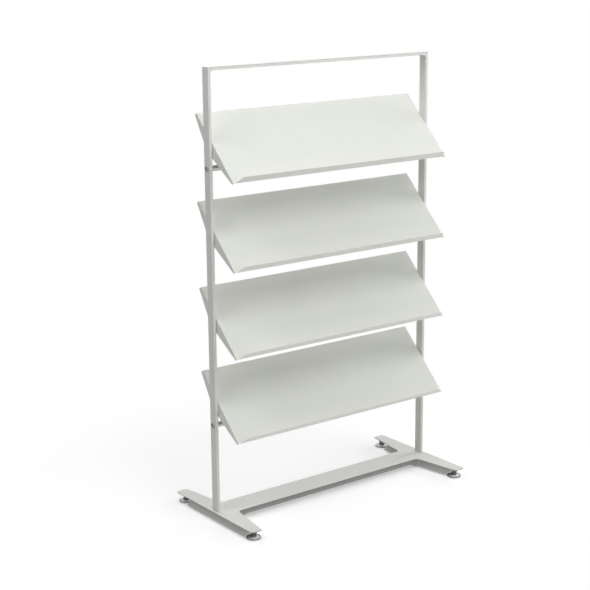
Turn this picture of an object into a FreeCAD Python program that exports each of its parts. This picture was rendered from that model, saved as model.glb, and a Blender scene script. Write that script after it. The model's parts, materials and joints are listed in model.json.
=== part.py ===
import FreeCAD, Part
import os
import re
import Sketcher

# A free-standing periodical display rack: an H-shaped sheet-steel base on levelling feet, a slim
# portal frame of flat tube, and four sloping sheet-steel trays that tilt on screws in the posts.
# Millimetres, +Z up, +Y to the back, origin on the floor at the centre of the base.

doc = FreeCAD.newDocument("periodical_display_rack")
sheet = doc.addObject("Spreadsheet::Sheet", "sizes")

SIZES = [
    # portal frame
    ("overall_height", 1700.0, "floor to the top of the frame"),
    ("frame_width", 1036.0, "outside to outside of the posts"),
    ("tube_thickness", 12.0, "flat tube, across its narrow side"),
    ("tube_depth", 36.0, "flat tube, front to back"),
    ("tube_wall", 1.5, "wall of the flat tube"),
    ("gusset_radius", 12.0, "hollow curve in the upper inside corners"),
    # base
    ("base_height", 38.0, "floor to the top of the base plate"),
    ("base_sheet", 3.0, "sheet of the base"),
    ("base_overhang", 12.5, "base beyond the outside of each post"),
    ("base_length", 514.0, "base, front to back"),
    ("crossbar_width", 113.0, "crossbar, front to back"),
    ("arm_root_width", 79.0, "foot arm where it meets the crossbar"),
    ("arm_tip_width", 48.6, "foot arm at its tip"),
    ("root_radius", 24.0, "inside corner between arm and crossbar"),
    ("tip_radius", 12.0, "plan corner of an arm's tip"),
    ("fold_radius", 4.5, "outside radius of the folded edges"),
    ("arm_skirt_gap", 6.0, "floor to the lower edge of the arm skirts"),
    ("crossbar_skirt_gap", 18.0, "floor to the lower edge of the crossbar skirts"),
    ("skirt_step", 34.0, "length over which the skirt's edge steps up to the crossbar's"),
    ("front_skirt_top", 16.0, "front tip to the end of the skirts at the plate"),
    ("front_skirt_foot", 50.0, "front tip to the end of the skirts at their lower edge"),
    ("rear_skirt_top", 113.0, "rear tip to the end of the skirts at the plate"),
    ("rear_skirt_foot", 80.0, "rear tip to the end of the skirts at their lower edge"),
    # trays
    ("top_tray_drop", 293.0, "top of the frame to the pivot of the top tray"),
    ("tray_pitch", 321.0, "pivot to pivot"),
    ("tray_slope_angle", 45.0, "slope of the trays as set"),
    ("tray_sheet", 1.2, "sheet of the trays"),
    ("tray_depth", 321.0, "front fold to back edge, along the slope"),
    ("tray_gap", 2.0, "tray end to post"),
    ("tray_bend", 1.2, "inside radius of the tray's folds"),
    ("pivot_from_front", 173.0, "front fold to pivot, along the slope"),
    ("pivot_below", 27.6, "pivot below the tray's face"),
    ("lip_height", 37.5, "front lip"),
    ("lip_lean_angle", 4.0, "lip opened beyond square to the tray"),
    ("lip_inset_low", 12.0, "lip's lower corner in from the tray end"),
    ("lip_inset_high", 26.0, "lip's upper corner in from the tray end"),
    ("return_depth", 10.0, "stiffening fold along the back edge"),
    ("flange_front", 8.4, "end flange at the front"),
    ("flange_middle", 48.0, "end flange at its deepest"),
    ("flange_back", 10.6, "end flange at the back"),
    ("flange_peak", 183.0, "front fold to the deepest point of the end flange"),
    # pivots
    ("pivot_screw_radius", 3.0, "shank of a pivot screw"),
    ("pivot_clearance", 0.08, "running fit of the flange on the screw"),
    ("pivot_head_radius", 6.0, "button head of a pivot screw"),
    ("pivot_head_height", 3.3, "button head of a pivot screw"),
    ("pivot_socket", 4.0, "hexagon socket, across flats"),
    ("pivot_screw_reach", 7.5, "screw inside the post"),
    ("spacer_radius", 16.0, "washer between tray and post"),
    ("insert_radius", 5.5, "threaded insert in the post"),
    ("insert_length", 8.0, "threaded insert in the post"),
    ("insert_bulge", 6.6, "swaged collar of the insert"),
    ("insert_collar", 1.6, "length of the swaged collar"),
    ("thread_clearance", 0.05, "screw to threaded hole, radial"),
    ("hole_clearance", 0.3, "screw to plain hole, radial"),
    # tie rods
    ("rod_radius", 11.0, "round tie rod"),
    ("rod_wall", 1.5, "wall of the tie rod"),
    ("rod_drop", 66.5, "tie rod below the pivot of the tray above it"),
    ("plug_length", 25.0, "threaded plug in the rod's end"),
    ("rod_bolt_radius", 4.0, "shank of a tie-rod bolt"),
    ("rod_bolt_reach", 20.0, "bolt inside the rod"),
    ("rod_head_radius", 12.0, "flat head of a tie-rod bolt"),
    ("rod_head_height", 3.2, "flat head of a tie-rod bolt"),
    ("rod_dish_radius", 7.5, "dish in the bolt's head"),
    ("rod_dish_depth", 1.4, "dish in the bolt's head"),
    ("rod_socket", 6.0, "hexagon socket, across flats"),
    # post fixing
    ("end_plug_height", 40.0, "threaded block welded in the foot of a post"),
    ("post_screw_spacing", 20.0, "two screws under each post, front to back"),
    ("post_screw_radius", 3.0, "shank of a post screw"),
    ("post_screw_grip", 25.0, "post screw inside the end plug"),
    ("post_head_radius", 5.0, "cap head of a post screw"),
    ("post_head_height", 6.0, "cap head of a post screw"),
    ("post_socket", 5.0, "hexagon socket, across flats"),
    ("backing_thickness", 4.0, "plate under the base that spreads the load"),
    ("backing_width", 50.0, "backing plate, along the crossbar"),
    ("backing_length", 80.0, "backing plate, front to back"),
    # levelling feet
    ("foot_side", 28.9, "foot centre in from the side of the base"),
    ("foot_end", 30.6, "foot centre in from the tip"),
    ("foot_nut_height", 14.6, "threaded boss welded under the plate"),
    ("foot_nut_flats", 22.0, "threaded boss, across flats"),
    ("stem_radius", 6.0, "threaded stem"),
    ("stem_clearance", 0.06, "stem to the boss's thread, radial"),
    ("stem_top_gap", 1.2, "stem's top below the base plate"),
    ("stem_flats", 19.0, "hexagon on the stem, across flats"),
    ("stem_hexagon", 4.0, "height of the stem's hexagon"),
    ("stem_neck_radius", 5.0, "stem in the collar"),
    ("stem_button_radius", 7.0, "stem's swivel button"),
    ("stem_button_height", 2.0, "stem's swivel button"),
    ("swivel_gap", 0.3, "play around the swivel button"),
    ("pad_radius", 28.0, "round foot pad"),
    ("pad_top", 6.4, "floor to the pad's rim"),
    ("pad_rim", 1.2, "floor to the pad's lower edge"),
    ("pad_dish", 1.6, "pad's face below its rim"),
    ("pad_bead", 2.4, "width of the pad's rim"),
    ("pad_hub_radius", 15.0, "foot of the cone that rises in the middle of the pad"),
    ("pad_hub_top", 8.6, "floor to the top of the pad's hub"),
    ("collar_radius", 11.0, "collar on the pad's hub"),
    ("collar_top", 13.0, "floor to the collar's top"),
    ("collar_bevel", 1.6, "bevelled upper edge of the collar"),
    ("collar_spigot", 9.2, "hole in the pad that takes the collar's spigot"),
    ("collar_floor", 3.6, "collar under the stem's swivel button"),
    ("glide_radius", 24.0, "soft glide under the pad"),
    ("glide_thickness", 2.2, "soft glide under the pad"),
    ("glide_clearance", 0.2, "glide to the pad's recess, radial"),
]

for row, (alias, size, note) in enumerate(SIZES, start=1):
    sheet.set("A%d" % row, alias)
    sheet.set("B%d" % row, str(size))
    sheet.set("C%d" % row, note)
    sheet.setAlias("B%d" % row, alias)

DERIVED = [
    # X stations, measured from the middle of the rack
    ("post_outside", "frame_width / 2"),
    ("post_inside", "post_outside - tube_thickness"),
    ("tray_end", "post_inside - tray_gap"),
    ("flange_inside", "tray_end - tray_sheet"),
    ("base_side", "post_outside + base_overhang"),
    ("foot_x", "base_side - foot_side"),
    # Y stations
    ("base_tip", "base_length / 2"),
    ("foot_y", "base_tip - foot_end"),
    ("crossbar_side", "crossbar_width / 2"),
    # heights
    ("first_pivot", "overall_height - top_tray_drop"),
    ("plate_underside", "base_height - base_sheet"),
    ("post_height", "overall_height - base_height"),
    ("nut_bottom", "plate_underside - foot_nut_height"),
    ("button_bottom", "glide_thickness + collar_floor + swivel_gap"),
    ("button_top", "button_bottom + stem_button_height"),
    ("hexagon_bottom", "collar_top + swivel_gap"),
    ("hexagon_top", "hexagon_bottom + stem_hexagon"),
    ("stem_top", "plate_underside - stem_top_gap"),
]


NAMES = "|".join(row[0] for row in sorted(SIZES + DERIVED, key=lambda row: -len(row[0])))


def cells(expression):
    """The expression with each size's name pointing at its cell of the sheet."""
    return re.sub(r"\b(%s)\b" % NAMES, r"sizes.\1", expression)


for row, (alias, formula) in enumerate(DERIVED, start=len(SIZES) + 1):
    sheet.set("A%d" % row, alias)
    sheet.set("B%d" % row, "=" + formula)
    sheet.setAlias("B%d" % row, alias)
doc.recompute()


def number(expression):
    return float(sheet.evalExpression(cells(expression)))


# ---------------------------------------------------------------- sketches and features

def new_body(label):
    body = doc.addObject("PartDesign::Body", label)
    body.Label = label
    return body


def place(body, across="0", back="0", up="0", turn="0", tilt="0"):
    """Puts a body at its place: turned about Z, or tilted about X."""
    for axis, expression in (("x", across), ("y", back), ("z", up)):
        body.setExpression("Placement.Base." + axis, cells(expression))
    if tilt != "0":
        body.Placement.Rotation = FreeCAD.Rotation(FreeCAD.Vector(1, 0, 0), number(tilt))
        body.setExpression("Placement.Rotation.Angle", cells(tilt) + " * 1 deg")
    if turn != "0":
        body.Placement.Rotation = FreeCAD.Rotation(FreeCAD.Vector(0, 0, 1), number(turn))


def new_sketch(body, name, plane, offset="0"):
    """A sketch on one of the body's own planes, moved along the plane's normal by offset."""
    support = [item for item in body.Origin.OriginFeatures if item.Role == plane][0]
    sketch = body.newObject("Sketcher::SketchObject", name)
    sketch.AttachmentSupport = [(support, "")]
    sketch.MapMode = "FlatFace"
    if offset != "0":
        sketch.setExpression("AttachmentOffset.Base.z", cells(offset))
    return sketch


def hold(sketch, kind, geometry, point, expression):
    """Binds one coordinate of a sketch point to an expression."""
    constraint = Sketcher.Constraint(kind, geometry, point, number(expression))
    index = sketch.addConstraint(constraint)
    sketch.setExpression("Constraints[%d]" % index, cells(expression))


def add_loop(sketch, corners):
    """A closed loop of straight edges through corners given as pairs of expressions."""
    points = [FreeCAD.Vector(number(across), number(up), 0) for across, up in corners]
    first = sketch.GeometryCount
    for here, there in zip(points, points[1:] + points[:1]):
        sketch.addGeometry(Part.LineSegment(here, there), False)
    for index, (across, up) in enumerate(corners):
        after = first + (index + 1) % len(corners)
        sketch.addConstraint(Sketcher.Constraint("Coincident", first + index, 2, after, 1))
        hold(sketch, "DistanceX", first + index, 1, across)
        hold(sketch, "DistanceY", first + index, 1, up)


def add_circle(sketch, across, up, radius):
    centre = FreeCAD.Vector(number(across), number(up), 0)
    circle = Part.Circle(centre, FreeCAD.Vector(0, 0, 1), number(radius))
    index = sketch.addGeometry(circle, False)
    hold(sketch, "DistanceX", index, 3, across)
    hold(sketch, "DistanceY", index, 3, up)
    constraint = sketch.addConstraint(Sketcher.Constraint("Radius", index, number(radius)))
    sketch.setExpression("Constraints[%d]" % constraint, cells(radius))


def rectangle(left, right, low, high):
    return [(left, low), (right, low), (right, high), (left, high)]


def hexagon(flats, across="0", up="0"):
    """Corners of a hexagon with two flats facing along the sketch's horizontal axis."""
    reach = "(%s) / sqrt(3)" % flats
    return [("%s + %s * sin(%d)" % (across, reach, angle), "%s + %s * cos(%d)" % (up, reach, angle))
            for angle in range(0, 360, 60)]


def pad(body, sketch, length, centred=False, name="pad"):
    feature = body.newObject("PartDesign::Pad", name)
    feature.Profile = sketch
    if centred:
        feature.SideType = "Symmetric"
    feature.setExpression("Length", cells(length))
    return finish(body, feature)


def cut(body, sketch, depth, name="cut"):
    """Removes the sketch's area to a depth on both sides of its plane."""
    before = body.Shape.Volume
    feature = body.newObject("PartDesign::Pocket", name)
    feature.Profile = sketch
    feature.SideType = "Symmetric"
    feature.setExpression("Length", "2 * (%s)" % cells(depth))
    finish(body, feature)
    if body.Shape.Volume >= before:
        raise ValueError("%s removes nothing from %s" % (name, body.Label))
    return feature


def turn_profile(body, sketch, axis, name="turned"):
    """Revolves a half profile about the sketch's H_Axis or V_Axis."""
    feature = body.newObject("PartDesign::Revolution", name)
    feature.Profile = sketch
    feature.ReferenceAxis = (sketch, [axis])
    feature.Angle = 360
    return finish(body, feature)


def finish(body, feature):
    body.Tip = feature
    doc.recompute()
    return feature


def edges_where(feature, test):
    """Names of the feature's edges whose two end points both pass the test."""
    names = []
    for index, edge in enumerate(feature.Shape.Edges, start=1):
        if all(test(vertex.Point, edge) for vertex in edge.Vertexes):
            names.append("Edge%d" % index)
    return names


def fillet(body, base, test, radius, name="fillet"):
    names = edges_where(base, test)
    if not names:
        raise ValueError("%s finds no edge on %s" % (name, body.Label))
    feature = body.newObject("PartDesign::Fillet", name)
    feature.Base = (base, names)
    feature.setExpression("Radius", cells(radius))
    return finish(body, feature)


def mirror(body, plane):
    """Adds the whole body's mirror image on one of its own planes."""
    support = [item for item in body.Origin.OriginFeatures if item.Role == plane][0]
    feature = body.newObject("PartDesign::Mirrored", "mirrored")
    feature.TransformMode = "Whole shape"
    feature.MirrorPlane = (support, [""])
    return finish(body, feature)


def near(value, expression, tolerance=0.01):
    return abs(value - number(expression)) < tolerance


# ---------------------------------------------------------------- portal frame

ROD_HEIGHTS = {
    "upper": "first_pivot - rod_drop",
    "lower": "first_pivot - 3 * tray_pitch - rod_drop",
}
TRAY_PIVOTS = ["first_pivot - %d * tray_pitch" % index for index in range(4)]
SIDES = {"left": ("-post_inside", "180"), "right": ("post_inside", "0")}


def make_post(side):
    """A flat tube, mitred at the top, drawn with its inner face on the body's YZ plane."""
    body = new_body(side + "_post")
    section = new_sketch(body, "section", "XY_Plane")
    add_loop(section, rectangle("0", "tube_thickness", "-tube_depth / 2", "tube_depth / 2"))
    add_loop(section, rectangle("tube_wall", "tube_thickness - tube_wall",
                                "tube_wall - tube_depth / 2", "tube_depth / 2 - tube_wall"))
    pad(body, section, "post_height", name="tube")
    mitre = new_sketch(body, "mitre_line", "XZ_Plane")
    add_loop(mitre, [("-tube_thickness", "post_height - 2 * tube_thickness"),
                     ("2 * tube_thickness", "post_height + tube_thickness"),
                     ("-tube_thickness", "post_height + tube_thickness")])
    cut(body, mitre, "tube_depth", "mitre")
    inserts = new_sketch(body, "insert_holes", "YZ_Plane")
    for pivot in TRAY_PIVOTS:
        add_circle(inserts, "0", pivot + " - base_height", "insert_radius + thread_clearance")
    cut(body, inserts, "tube_wall", "inserts")
    bolts = new_sketch(body, "bolt_holes", "YZ_Plane")
    for rod in ROD_HEIGHTS.values():
        add_circle(bolts, "0", rod + " - base_height", "rod_bolt_radius + hole_clearance")
    cut(body, bolts, "tube_thickness", "bolts")
    across, turn = SIDES[side]
    place(body, across, up="base_height", turn=turn)


def make_top_bar():
    """The same flat tube laid flat, mitred at both ends."""
    body = new_body("top_bar")
    section = new_sketch(body, "section", "YZ_Plane")
    add_loop(section, rectangle("-tube_depth / 2", "tube_depth / 2", "0", "tube_thickness"))
    add_loop(section, rectangle("tube_wall - tube_depth / 2", "tube_depth / 2 - tube_wall",
                                "tube_wall", "tube_thickness - tube_wall"))
    pad(body, section, "frame_width", centred=True, name="tube")
    mitres = new_sketch(body, "mitre_lines", "XZ_Plane")
    for sign in ("-", ""):
        add_loop(mitres, [(sign + "(post_inside - tube_thickness)", "-tube_thickness"),
                          (sign + "(post_outside + tube_thickness)", "2 * tube_thickness"),
                          (sign + "(post_outside + tube_thickness)", "-tube_thickness")])
    cut(body, mitres, "tube_depth", "mitres")
    place(body, up="overall_height - tube_thickness")


def make_corner_gusset(side):
    """The welded and ground hollow curve inside an upper corner."""
    body = new_body(side + "_corner_gusset")
    profile = new_sketch(body, "profile", "XZ_Plane")
    radius = number("gusset_radius")
    corner = FreeCAD.Vector(0, 0, 0)
    along = FreeCAD.Vector(-radius, 0, 0)
    down = FreeCAD.Vector(0, -radius, 0)
    circle = Part.Circle(FreeCAD.Vector(-radius, -radius, 0), FreeCAD.Vector(0, 0, 1), radius)
    profile.addGeometry(Part.LineSegment(corner, along), False)
    profile.addGeometry(Part.ArcOfCircle(circle, 0, 1.5707963), False)
    profile.addGeometry(Part.LineSegment(down, corner), False)
    profile.addConstraint(Sketcher.Constraint("Coincident", 0, 1, -1, 1))
    profile.addConstraint(Sketcher.Constraint("Coincident", 0, 2, 1, 2))
    profile.addConstraint(Sketcher.Constraint("Coincident", 1, 1, 2, 1))
    profile.addConstraint(Sketcher.Constraint("Coincident", 2, 2, 0, 1))
    hold(profile, "DistanceX", 0, 2, "-gusset_radius")
    hold(profile, "DistanceY", 0, 2, "0")
    hold(profile, "DistanceX", 2, 1, "0")
    hold(profile, "DistanceY", 2, 1, "-gusset_radius")
    hold(profile, "DistanceX", 1, 3, "-gusset_radius")
    pad(body, profile, "tube_depth", centred=True, name="weld")
    across, turn = SIDES[side]
    place(body, across, up="overall_height - tube_thickness", turn=turn)


def make_end_plug(side):
    """A steel block welded inside the foot of a post, with two threaded holes from below."""
    body = new_body(side + "_post_end_plug")
    section = new_sketch(body, "section", "XY_Plane")
    add_loop(section, rectangle("tube_wall", "tube_thickness - tube_wall",
                                "tube_wall - tube_depth / 2", "tube_depth / 2 - tube_wall"))
    for sign in ("-", ""):
        add_circle(section, "tube_thickness / 2", sign + "post_screw_spacing / 2",
                   "post_screw_radius + thread_clearance")
    pad(body, section, "end_plug_height", name="block")
    across, turn = SIDES[side]
    place(body, across, up="base_height", turn=turn)


def make_backing_plate(side):
    """A steel plate under the base that the post's screws pull against."""
    body = new_body(side + "_backing_plate")
    section = new_sketch(body, "section", "XY_Plane")
    add_loop(section, rectangle("tube_thickness / 2 - backing_width / 2",
                                "tube_thickness / 2 + backing_width / 2 - base_overhang",
                                "-backing_length / 2", "backing_length / 2"))
    for sign in ("-", ""):
        add_circle(section, "tube_thickness / 2", sign + "post_screw_spacing / 2",
                   "post_screw_radius + hole_clearance")
    pad(body, section, "backing_thickness", name="plate")
    across, turn = SIDES[side]
    place(body, across, up="plate_underside - backing_thickness", turn=turn)


def make_post_screws(side):
    """Two cap screws, up through the backing plate and the base into the end plug."""
    body = new_body(side + "_post_screws")
    head = new_sketch(body, "head_section", "XY_Plane")
    add_circle(head, "tube_thickness / 2", "post_screw_spacing / 2", "post_head_radius")
    add_loop(head, hexagon("post_socket", "tube_thickness / 2", "post_screw_spacing / 2"))
    pad(body, head, "post_head_height", name="head")
    shank = new_sketch(body, "shank_section", "XY_Plane", "post_head_height / 2")
    add_circle(shank, "tube_thickness / 2", "post_screw_spacing / 2", "post_screw_radius")
    pad(body, shank, "post_head_height / 2 + backing_thickness + base_sheet + post_screw_grip",
        name="shank")
    mirror(body, "XZ_Plane")
    across, turn = SIDES[side]
    place(body, across, turn=turn,
          up="plate_underside - backing_thickness - post_head_height")


# ---------------------------------------------------------------- base

def make_base():
    """One folded sheet: a crossbar and four tapering arms, with skirts turned down all round."""
    body = new_body("base")
    plan = new_sketch(body, "plan", "XY_Plane", "arm_skirt_gap")
    quarter = [("base_side", "base_tip"),
               ("base_side - arm_tip_width", "base_tip"),
               ("base_side - arm_root_width", "crossbar_side")]
    right_back = quarter
    left_back = [("-(%s)" % across, back) for across, back in reversed(quarter)]
    left_front = [("-(%s)" % across, "-" + back) for across, back in quarter]
    right_front = [(across, "-" + back) for across, back in reversed(quarter)]
    add_loop(plan, right_back + left_back + left_front + right_front)
    block = pad(body, plan, "base_height - arm_skirt_gap", name="block")

    def upright(edge):
        return abs(edge.Vertexes[0].Z - edge.Vertexes[-1].Z) > 1

    def at_tip(point, edge):
        return upright(edge) and near(abs(point.y), "base_tip")

    def at_root(point, edge):
        return upright(edge) and near(abs(point.y), "crossbar_side")

    tips = fillet(body, block, at_tip, "tip_radius", "tip_corners")
    roots = fillet(body, tips, at_root, "root_radius", "root_corners")
    rim = fillet(body, roots, lambda point, edge: near(point.z, "base_height"), "fold_radius", "fold")
    lowest = min(rim.Shape.Faces, key=lambda face: face.CenterOfMass.z)
    index = [face.isSame(lowest) for face in rim.Shape.Faces].index(True) + 1
    shell = body.newObject("PartDesign::Thickness", "sheet")
    shell.Base = (rim, ["Face%d" % index])
    shell.Mode = "Skin"
    shell.Join = "Intersection"
    shell.Reversed = True
    shell.setExpression("Value", cells("base_sheet"))
    finish(body, shell)

    ends = new_sketch(body, "skirt_ends", "YZ_Plane")
    for sign, top, foot in (("-", "front_skirt_top", "front_skirt_foot"),
                            ("", "rear_skirt_top", "rear_skirt_foot")):
        add_loop(ends, [("%s(base_tip - %s)" % (sign, foot), "arm_skirt_gap"),
                        ("%s(base_tip - %s)" % (sign, top), "plate_underside"),
                        ("%s(base_tip + tip_radius)" % sign, "plate_underside"),
                        ("%s(base_tip + tip_radius)" % sign, "0"),
                        ("%s(base_tip - %s)" % (sign, foot), "0")])
    cut(body, ends, "base_side + tip_radius", "skirt_end_cuts")
    step = new_sketch(body, "crossbar_skirt_edge", "XZ_Plane")
    flat_end = "(base_side - arm_root_width - root_radius / 2 - skirt_step)"
    step_end = "(base_side - arm_root_width - root_radius / 2)"
    add_loop(step, [("-" + step_end, "0"), (step_end, "0"), (step_end, "arm_skirt_gap"),
                    (flat_end, "crossbar_skirt_gap"), ("-" + flat_end, "crossbar_skirt_gap"),
                    ("-" + step_end, "arm_skirt_gap")])
    cut(body, step, "base_tip", "crossbar_skirt_cut")
    holes = new_sketch(body, "post_screw_holes", "XY_Plane", "base_height")
    for side in ("-", ""):
        for end in ("-", ""):
            add_circle(holes, side + "(post_outside - tube_thickness / 2)",
                       end + "post_screw_spacing / 2", "post_screw_radius + hole_clearance")
    cut(body, holes, "base_sheet", "screw_holes")


# ---------------------------------------------------------------- tie rods

def make_tie_rod(name, height):
    body = new_body(name + "_tie_rod")
    section = new_sketch(body, "section", "YZ_Plane")
    add_circle(section, "0", "0", "rod_radius")
    add_circle(section, "0", "0", "rod_radius - rod_wall")
    pad(body, section, "2 * post_inside", centred=True, name="tube")
    place(body, up=height)


def make_rod_plugs(name, height):
    """Threaded plugs pressed into both ends of a tie rod."""
    body = new_body(name + "_rod_end_plugs")
    section = new_sketch(body, "section", "YZ_Plane", "post_inside - plug_length")
    add_circle(section, "0", "0", "rod_radius - rod_wall - thread_clearance")
    add_circle(section, "0", "0", "rod_bolt_radius + thread_clearance")
    pad(body, section, "plug_length", name="plug")
    mirror(body, "YZ_Plane")
    place(body, up=height)


def make_rod_bolts(name, height):
    """A flat-headed bolt with a dished head at each end of a tie rod, through the post."""
    body = new_body(name + "_rod_bolts")
    profile = new_sketch(body, "profile", "XZ_Plane")
    head_face = "post_outside + rod_head_height"
    add_loop(profile, [("post_inside - rod_bolt_reach", "0"),
                       (head_face + " - rod_dish_depth", "0"),
                       (head_face + " - rod_dish_depth", "rod_dish_radius - rod_dish_depth"),
                       (head_face, "rod_dish_radius"),
                       (head_face, "rod_head_radius - rod_head_height / 2"),
                       ("post_outside + rod_head_height / 2", "rod_head_radius"),
                       ("post_outside", "rod_head_radius"),
                       ("post_outside", "rod_bolt_radius"),
                       ("post_inside - rod_bolt_reach", "rod_bolt_radius")])
    turn_profile(body, profile, "H_Axis", "bolt")
    socket = new_sketch(body, "socket_section", "YZ_Plane", head_face)
    add_loop(socket, hexagon("rod_socket"))
    cut(body, socket, "rod_dish_depth + rod_head_height", "socket")
    mirror(body, "YZ_Plane")
    place(body, up=height)


# ---------------------------------------------------------------- trays and their pivots

def make_tray(label, pivot):
    """A folded sheet drawn flat about its pivot axis, then tilted to its slope."""
    body = new_body(label)
    front = "-pivot_from_front"
    back = "(tray_depth - pivot_from_front)"
    lip_in = "(%s - lip_height * sin(lip_lean_angle))" % front
    lip_top = "(pivot_below + lip_height * cos(lip_lean_angle))"
    fold_out = "(%s - tray_sheet * (1 + sin(lip_lean_angle)) / cos(lip_lean_angle))" % front
    section = new_sketch(body, "section", "YZ_Plane")
    add_loop(section, [
        (front, "pivot_below"),
        (lip_in, lip_top),
        (lip_in + " - tray_sheet * cos(lip_lean_angle)", lip_top + " - tray_sheet * sin(lip_lean_angle)"),
        (fold_out, "pivot_below - tray_sheet"),
        (back + " - tray_sheet", "pivot_below - tray_sheet"),
        (back + " - tray_sheet", "pivot_below - return_depth"),
        (back, "pivot_below - return_depth"),
        (back, "pivot_below")])
    folded = pad(body, section, "2 * tray_end", centred=True, name="folded_sheet")

    def along_x(edge):
        return abs(edge.Vertexes[0].X - edge.Vertexes[-1].X) > 1

    def fold_edge(across, up):
        return lambda point, edge: (along_x(edge) and near(point.y, across) and near(point.z, up))

    inner = fillet(body, folded, fold_edge(front, "pivot_below"), "tray_bend", "inner_fold")
    outer = fillet(body, inner, fold_edge(fold_out, "pivot_below - tray_sheet"),
                   "tray_bend + tray_sheet", "outer_fold")
    rear = fillet(body, outer, fold_edge(back, "pivot_below"), "tray_bend", "rear_fold")

    corners = new_sketch(body, "lip_corners", "XZ_Plane")
    low_in = "(tray_end - lip_inset_low)"
    high_in = "(tray_end - lip_inset_high)"
    high = "(pivot_below + lip_height)"
    for sign in ("-", ""):
        add_loop(corners, [(sign + low_in, "pivot_below"), (sign + high_in, high),
                           (sign + high_in, high + " + tray_gap"),
                           (sign + "post_inside", high + " + tray_gap"),
                           (sign + "post_inside", "pivot_below")])
    cut(body, corners, "tray_depth", "lip_corner_cuts")

    flange = new_sketch(body, "flange_outline", "YZ_Plane", "flange_inside")
    add_loop(flange, [
        (front, "pivot_below - tray_sheet / 2"),
        (front, "pivot_below - flange_front"),
        ("flange_peak - pivot_from_front", "pivot_below - flange_middle"),
        (back, "pivot_below - flange_back"),
        (back, "pivot_below - tray_sheet / 2")])
    pad(body, flange, "tray_sheet", name="flange")
    left_flange = new_sketch(body, "left_flange_outline", "YZ_Plane", "-tray_end")
    add_loop(left_flange, [
        (front, "pivot_below - tray_sheet / 2"),
        (front, "pivot_below - flange_front"),
        ("flange_peak - pivot_from_front", "pivot_below - flange_middle"),
        (back, "pivot_below - flange_back"),
        (back, "pivot_below - tray_sheet / 2")])
    pad(body, left_flange, "tray_sheet", name="left_flange")
    bore = new_sketch(body, "pivot_hole", "YZ_Plane")
    add_circle(bore, "0", "0", "pivot_screw_radius + pivot_clearance")
    cut(body, bore, "post_inside", "pivot_holes")
    place(body, up=pivot, tilt="tray_slope_angle")


def make_tray_screws(label, pivot):
    """A button-head screw at each end of a tray, from inside its flange into the post."""
    body = new_body(label + "_pivot_screws")
    profile = new_sketch(body, "profile", "XZ_Plane")
    head_face = "(flange_inside - pivot_head_height)"
    tip = "(post_inside + pivot_screw_reach)"
    add_loop(profile, [(head_face, "0"), (tip, "0"), (tip, "pivot_screw_radius"),
                       ("flange_inside", "pivot_screw_radius"),
                       ("flange_inside", "pivot_head_radius"),
                       ("flange_inside - pivot_head_height / 3", "pivot_head_radius"),
                       (head_face, "pivot_head_radius * 2 / 3")])
    turn_profile(body, profile, "H_Axis", "screw")
    socket = new_sketch(body, "socket_section", "YZ_Plane", head_face)
    add_loop(socket, hexagon("pivot_socket"))
    cut(body, socket, "pivot_head_height * 2 / 3", "socket")
    mirror(body, "YZ_Plane")
    place(body, up=pivot)


def make_tray_spacers(label, pivot):
    """A hard washer between each end flange and its post."""
    body = new_body(label + "_spacers")
    section = new_sketch(body, "section", "YZ_Plane", "tray_end")
    add_circle(section, "0", "0", "spacer_radius")
    add_circle(section, "0", "0", "pivot_screw_radius + hole_clearance")
    pad(body, section, "tray_gap", name="washer")
    mirror(body, "YZ_Plane")
    place(body, up=pivot)


def make_tray_inserts(label, pivot):
    """A threaded insert swaged into each post's inner wall."""
    body = new_body(label + "_post_inserts")
    profile = new_sketch(body, "profile", "XZ_Plane")
    bore = "pivot_screw_radius + thread_clearance"
    add_loop(profile, [("post_inside", bore),
                       ("post_inside + insert_length", bore),
                       ("post_inside + insert_length", "insert_radius"),
                       ("post_inside + tube_wall + insert_collar", "insert_radius"),
                       ("post_inside + tube_wall + insert_collar / 2", "insert_bulge"),
                       ("post_inside + tube_wall", "insert_radius"),
                       ("post_inside", "insert_radius")])
    turn_profile(body, profile, "H_Axis", "insert")
    mirror(body, "YZ_Plane")
    place(body, up=pivot)


# ---------------------------------------------------------------- levelling feet

def make_foot_nuts(end, back):
    """Threaded bosses welded under the tips of two arms."""
    body = new_body(end + "_foot_nuts")
    section = new_sketch(body, "section", "XY_Plane")
    add_loop(section, hexagon("foot_nut_flats", "foot_x"))
    add_circle(section, "foot_x", "0", "stem_radius + stem_clearance")
    pad(body, section, "foot_nut_height", name="boss")
    mirror(body, "YZ_Plane")
    place(body, back=back, up="nut_bottom")


def make_foot_pad(label, across, back):
    """A round pressed pad with a raised rim and hub, open below for the glide."""
    body = new_body("foot_pad_" + label)
    profile = new_sketch(body, "profile", "XZ_Plane")
    add_loop(profile, [("collar_spigot", "glide_thickness"),
                       ("glide_radius + glide_clearance", "glide_thickness"),
                       ("glide_radius + glide_clearance", "pad_rim"),
                       ("pad_radius", "pad_rim"),
                       ("pad_radius", "pad_top - pad_bead / 3"),
                       ("pad_radius - pad_bead / 3", "pad_top"),
                       ("pad_radius - pad_bead * 2 / 3", "pad_top"),
                       ("pad_radius - pad_bead * 4 / 3", "pad_top - pad_dish"),
                       ("pad_hub_radius", "pad_top - pad_dish"),
                       ("collar_radius", "pad_hub_top"),
                       ("collar_spigot", "pad_hub_top")])
    turn_profile(body, profile, "V_Axis", "pad")
    place(body, across, back)


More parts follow.
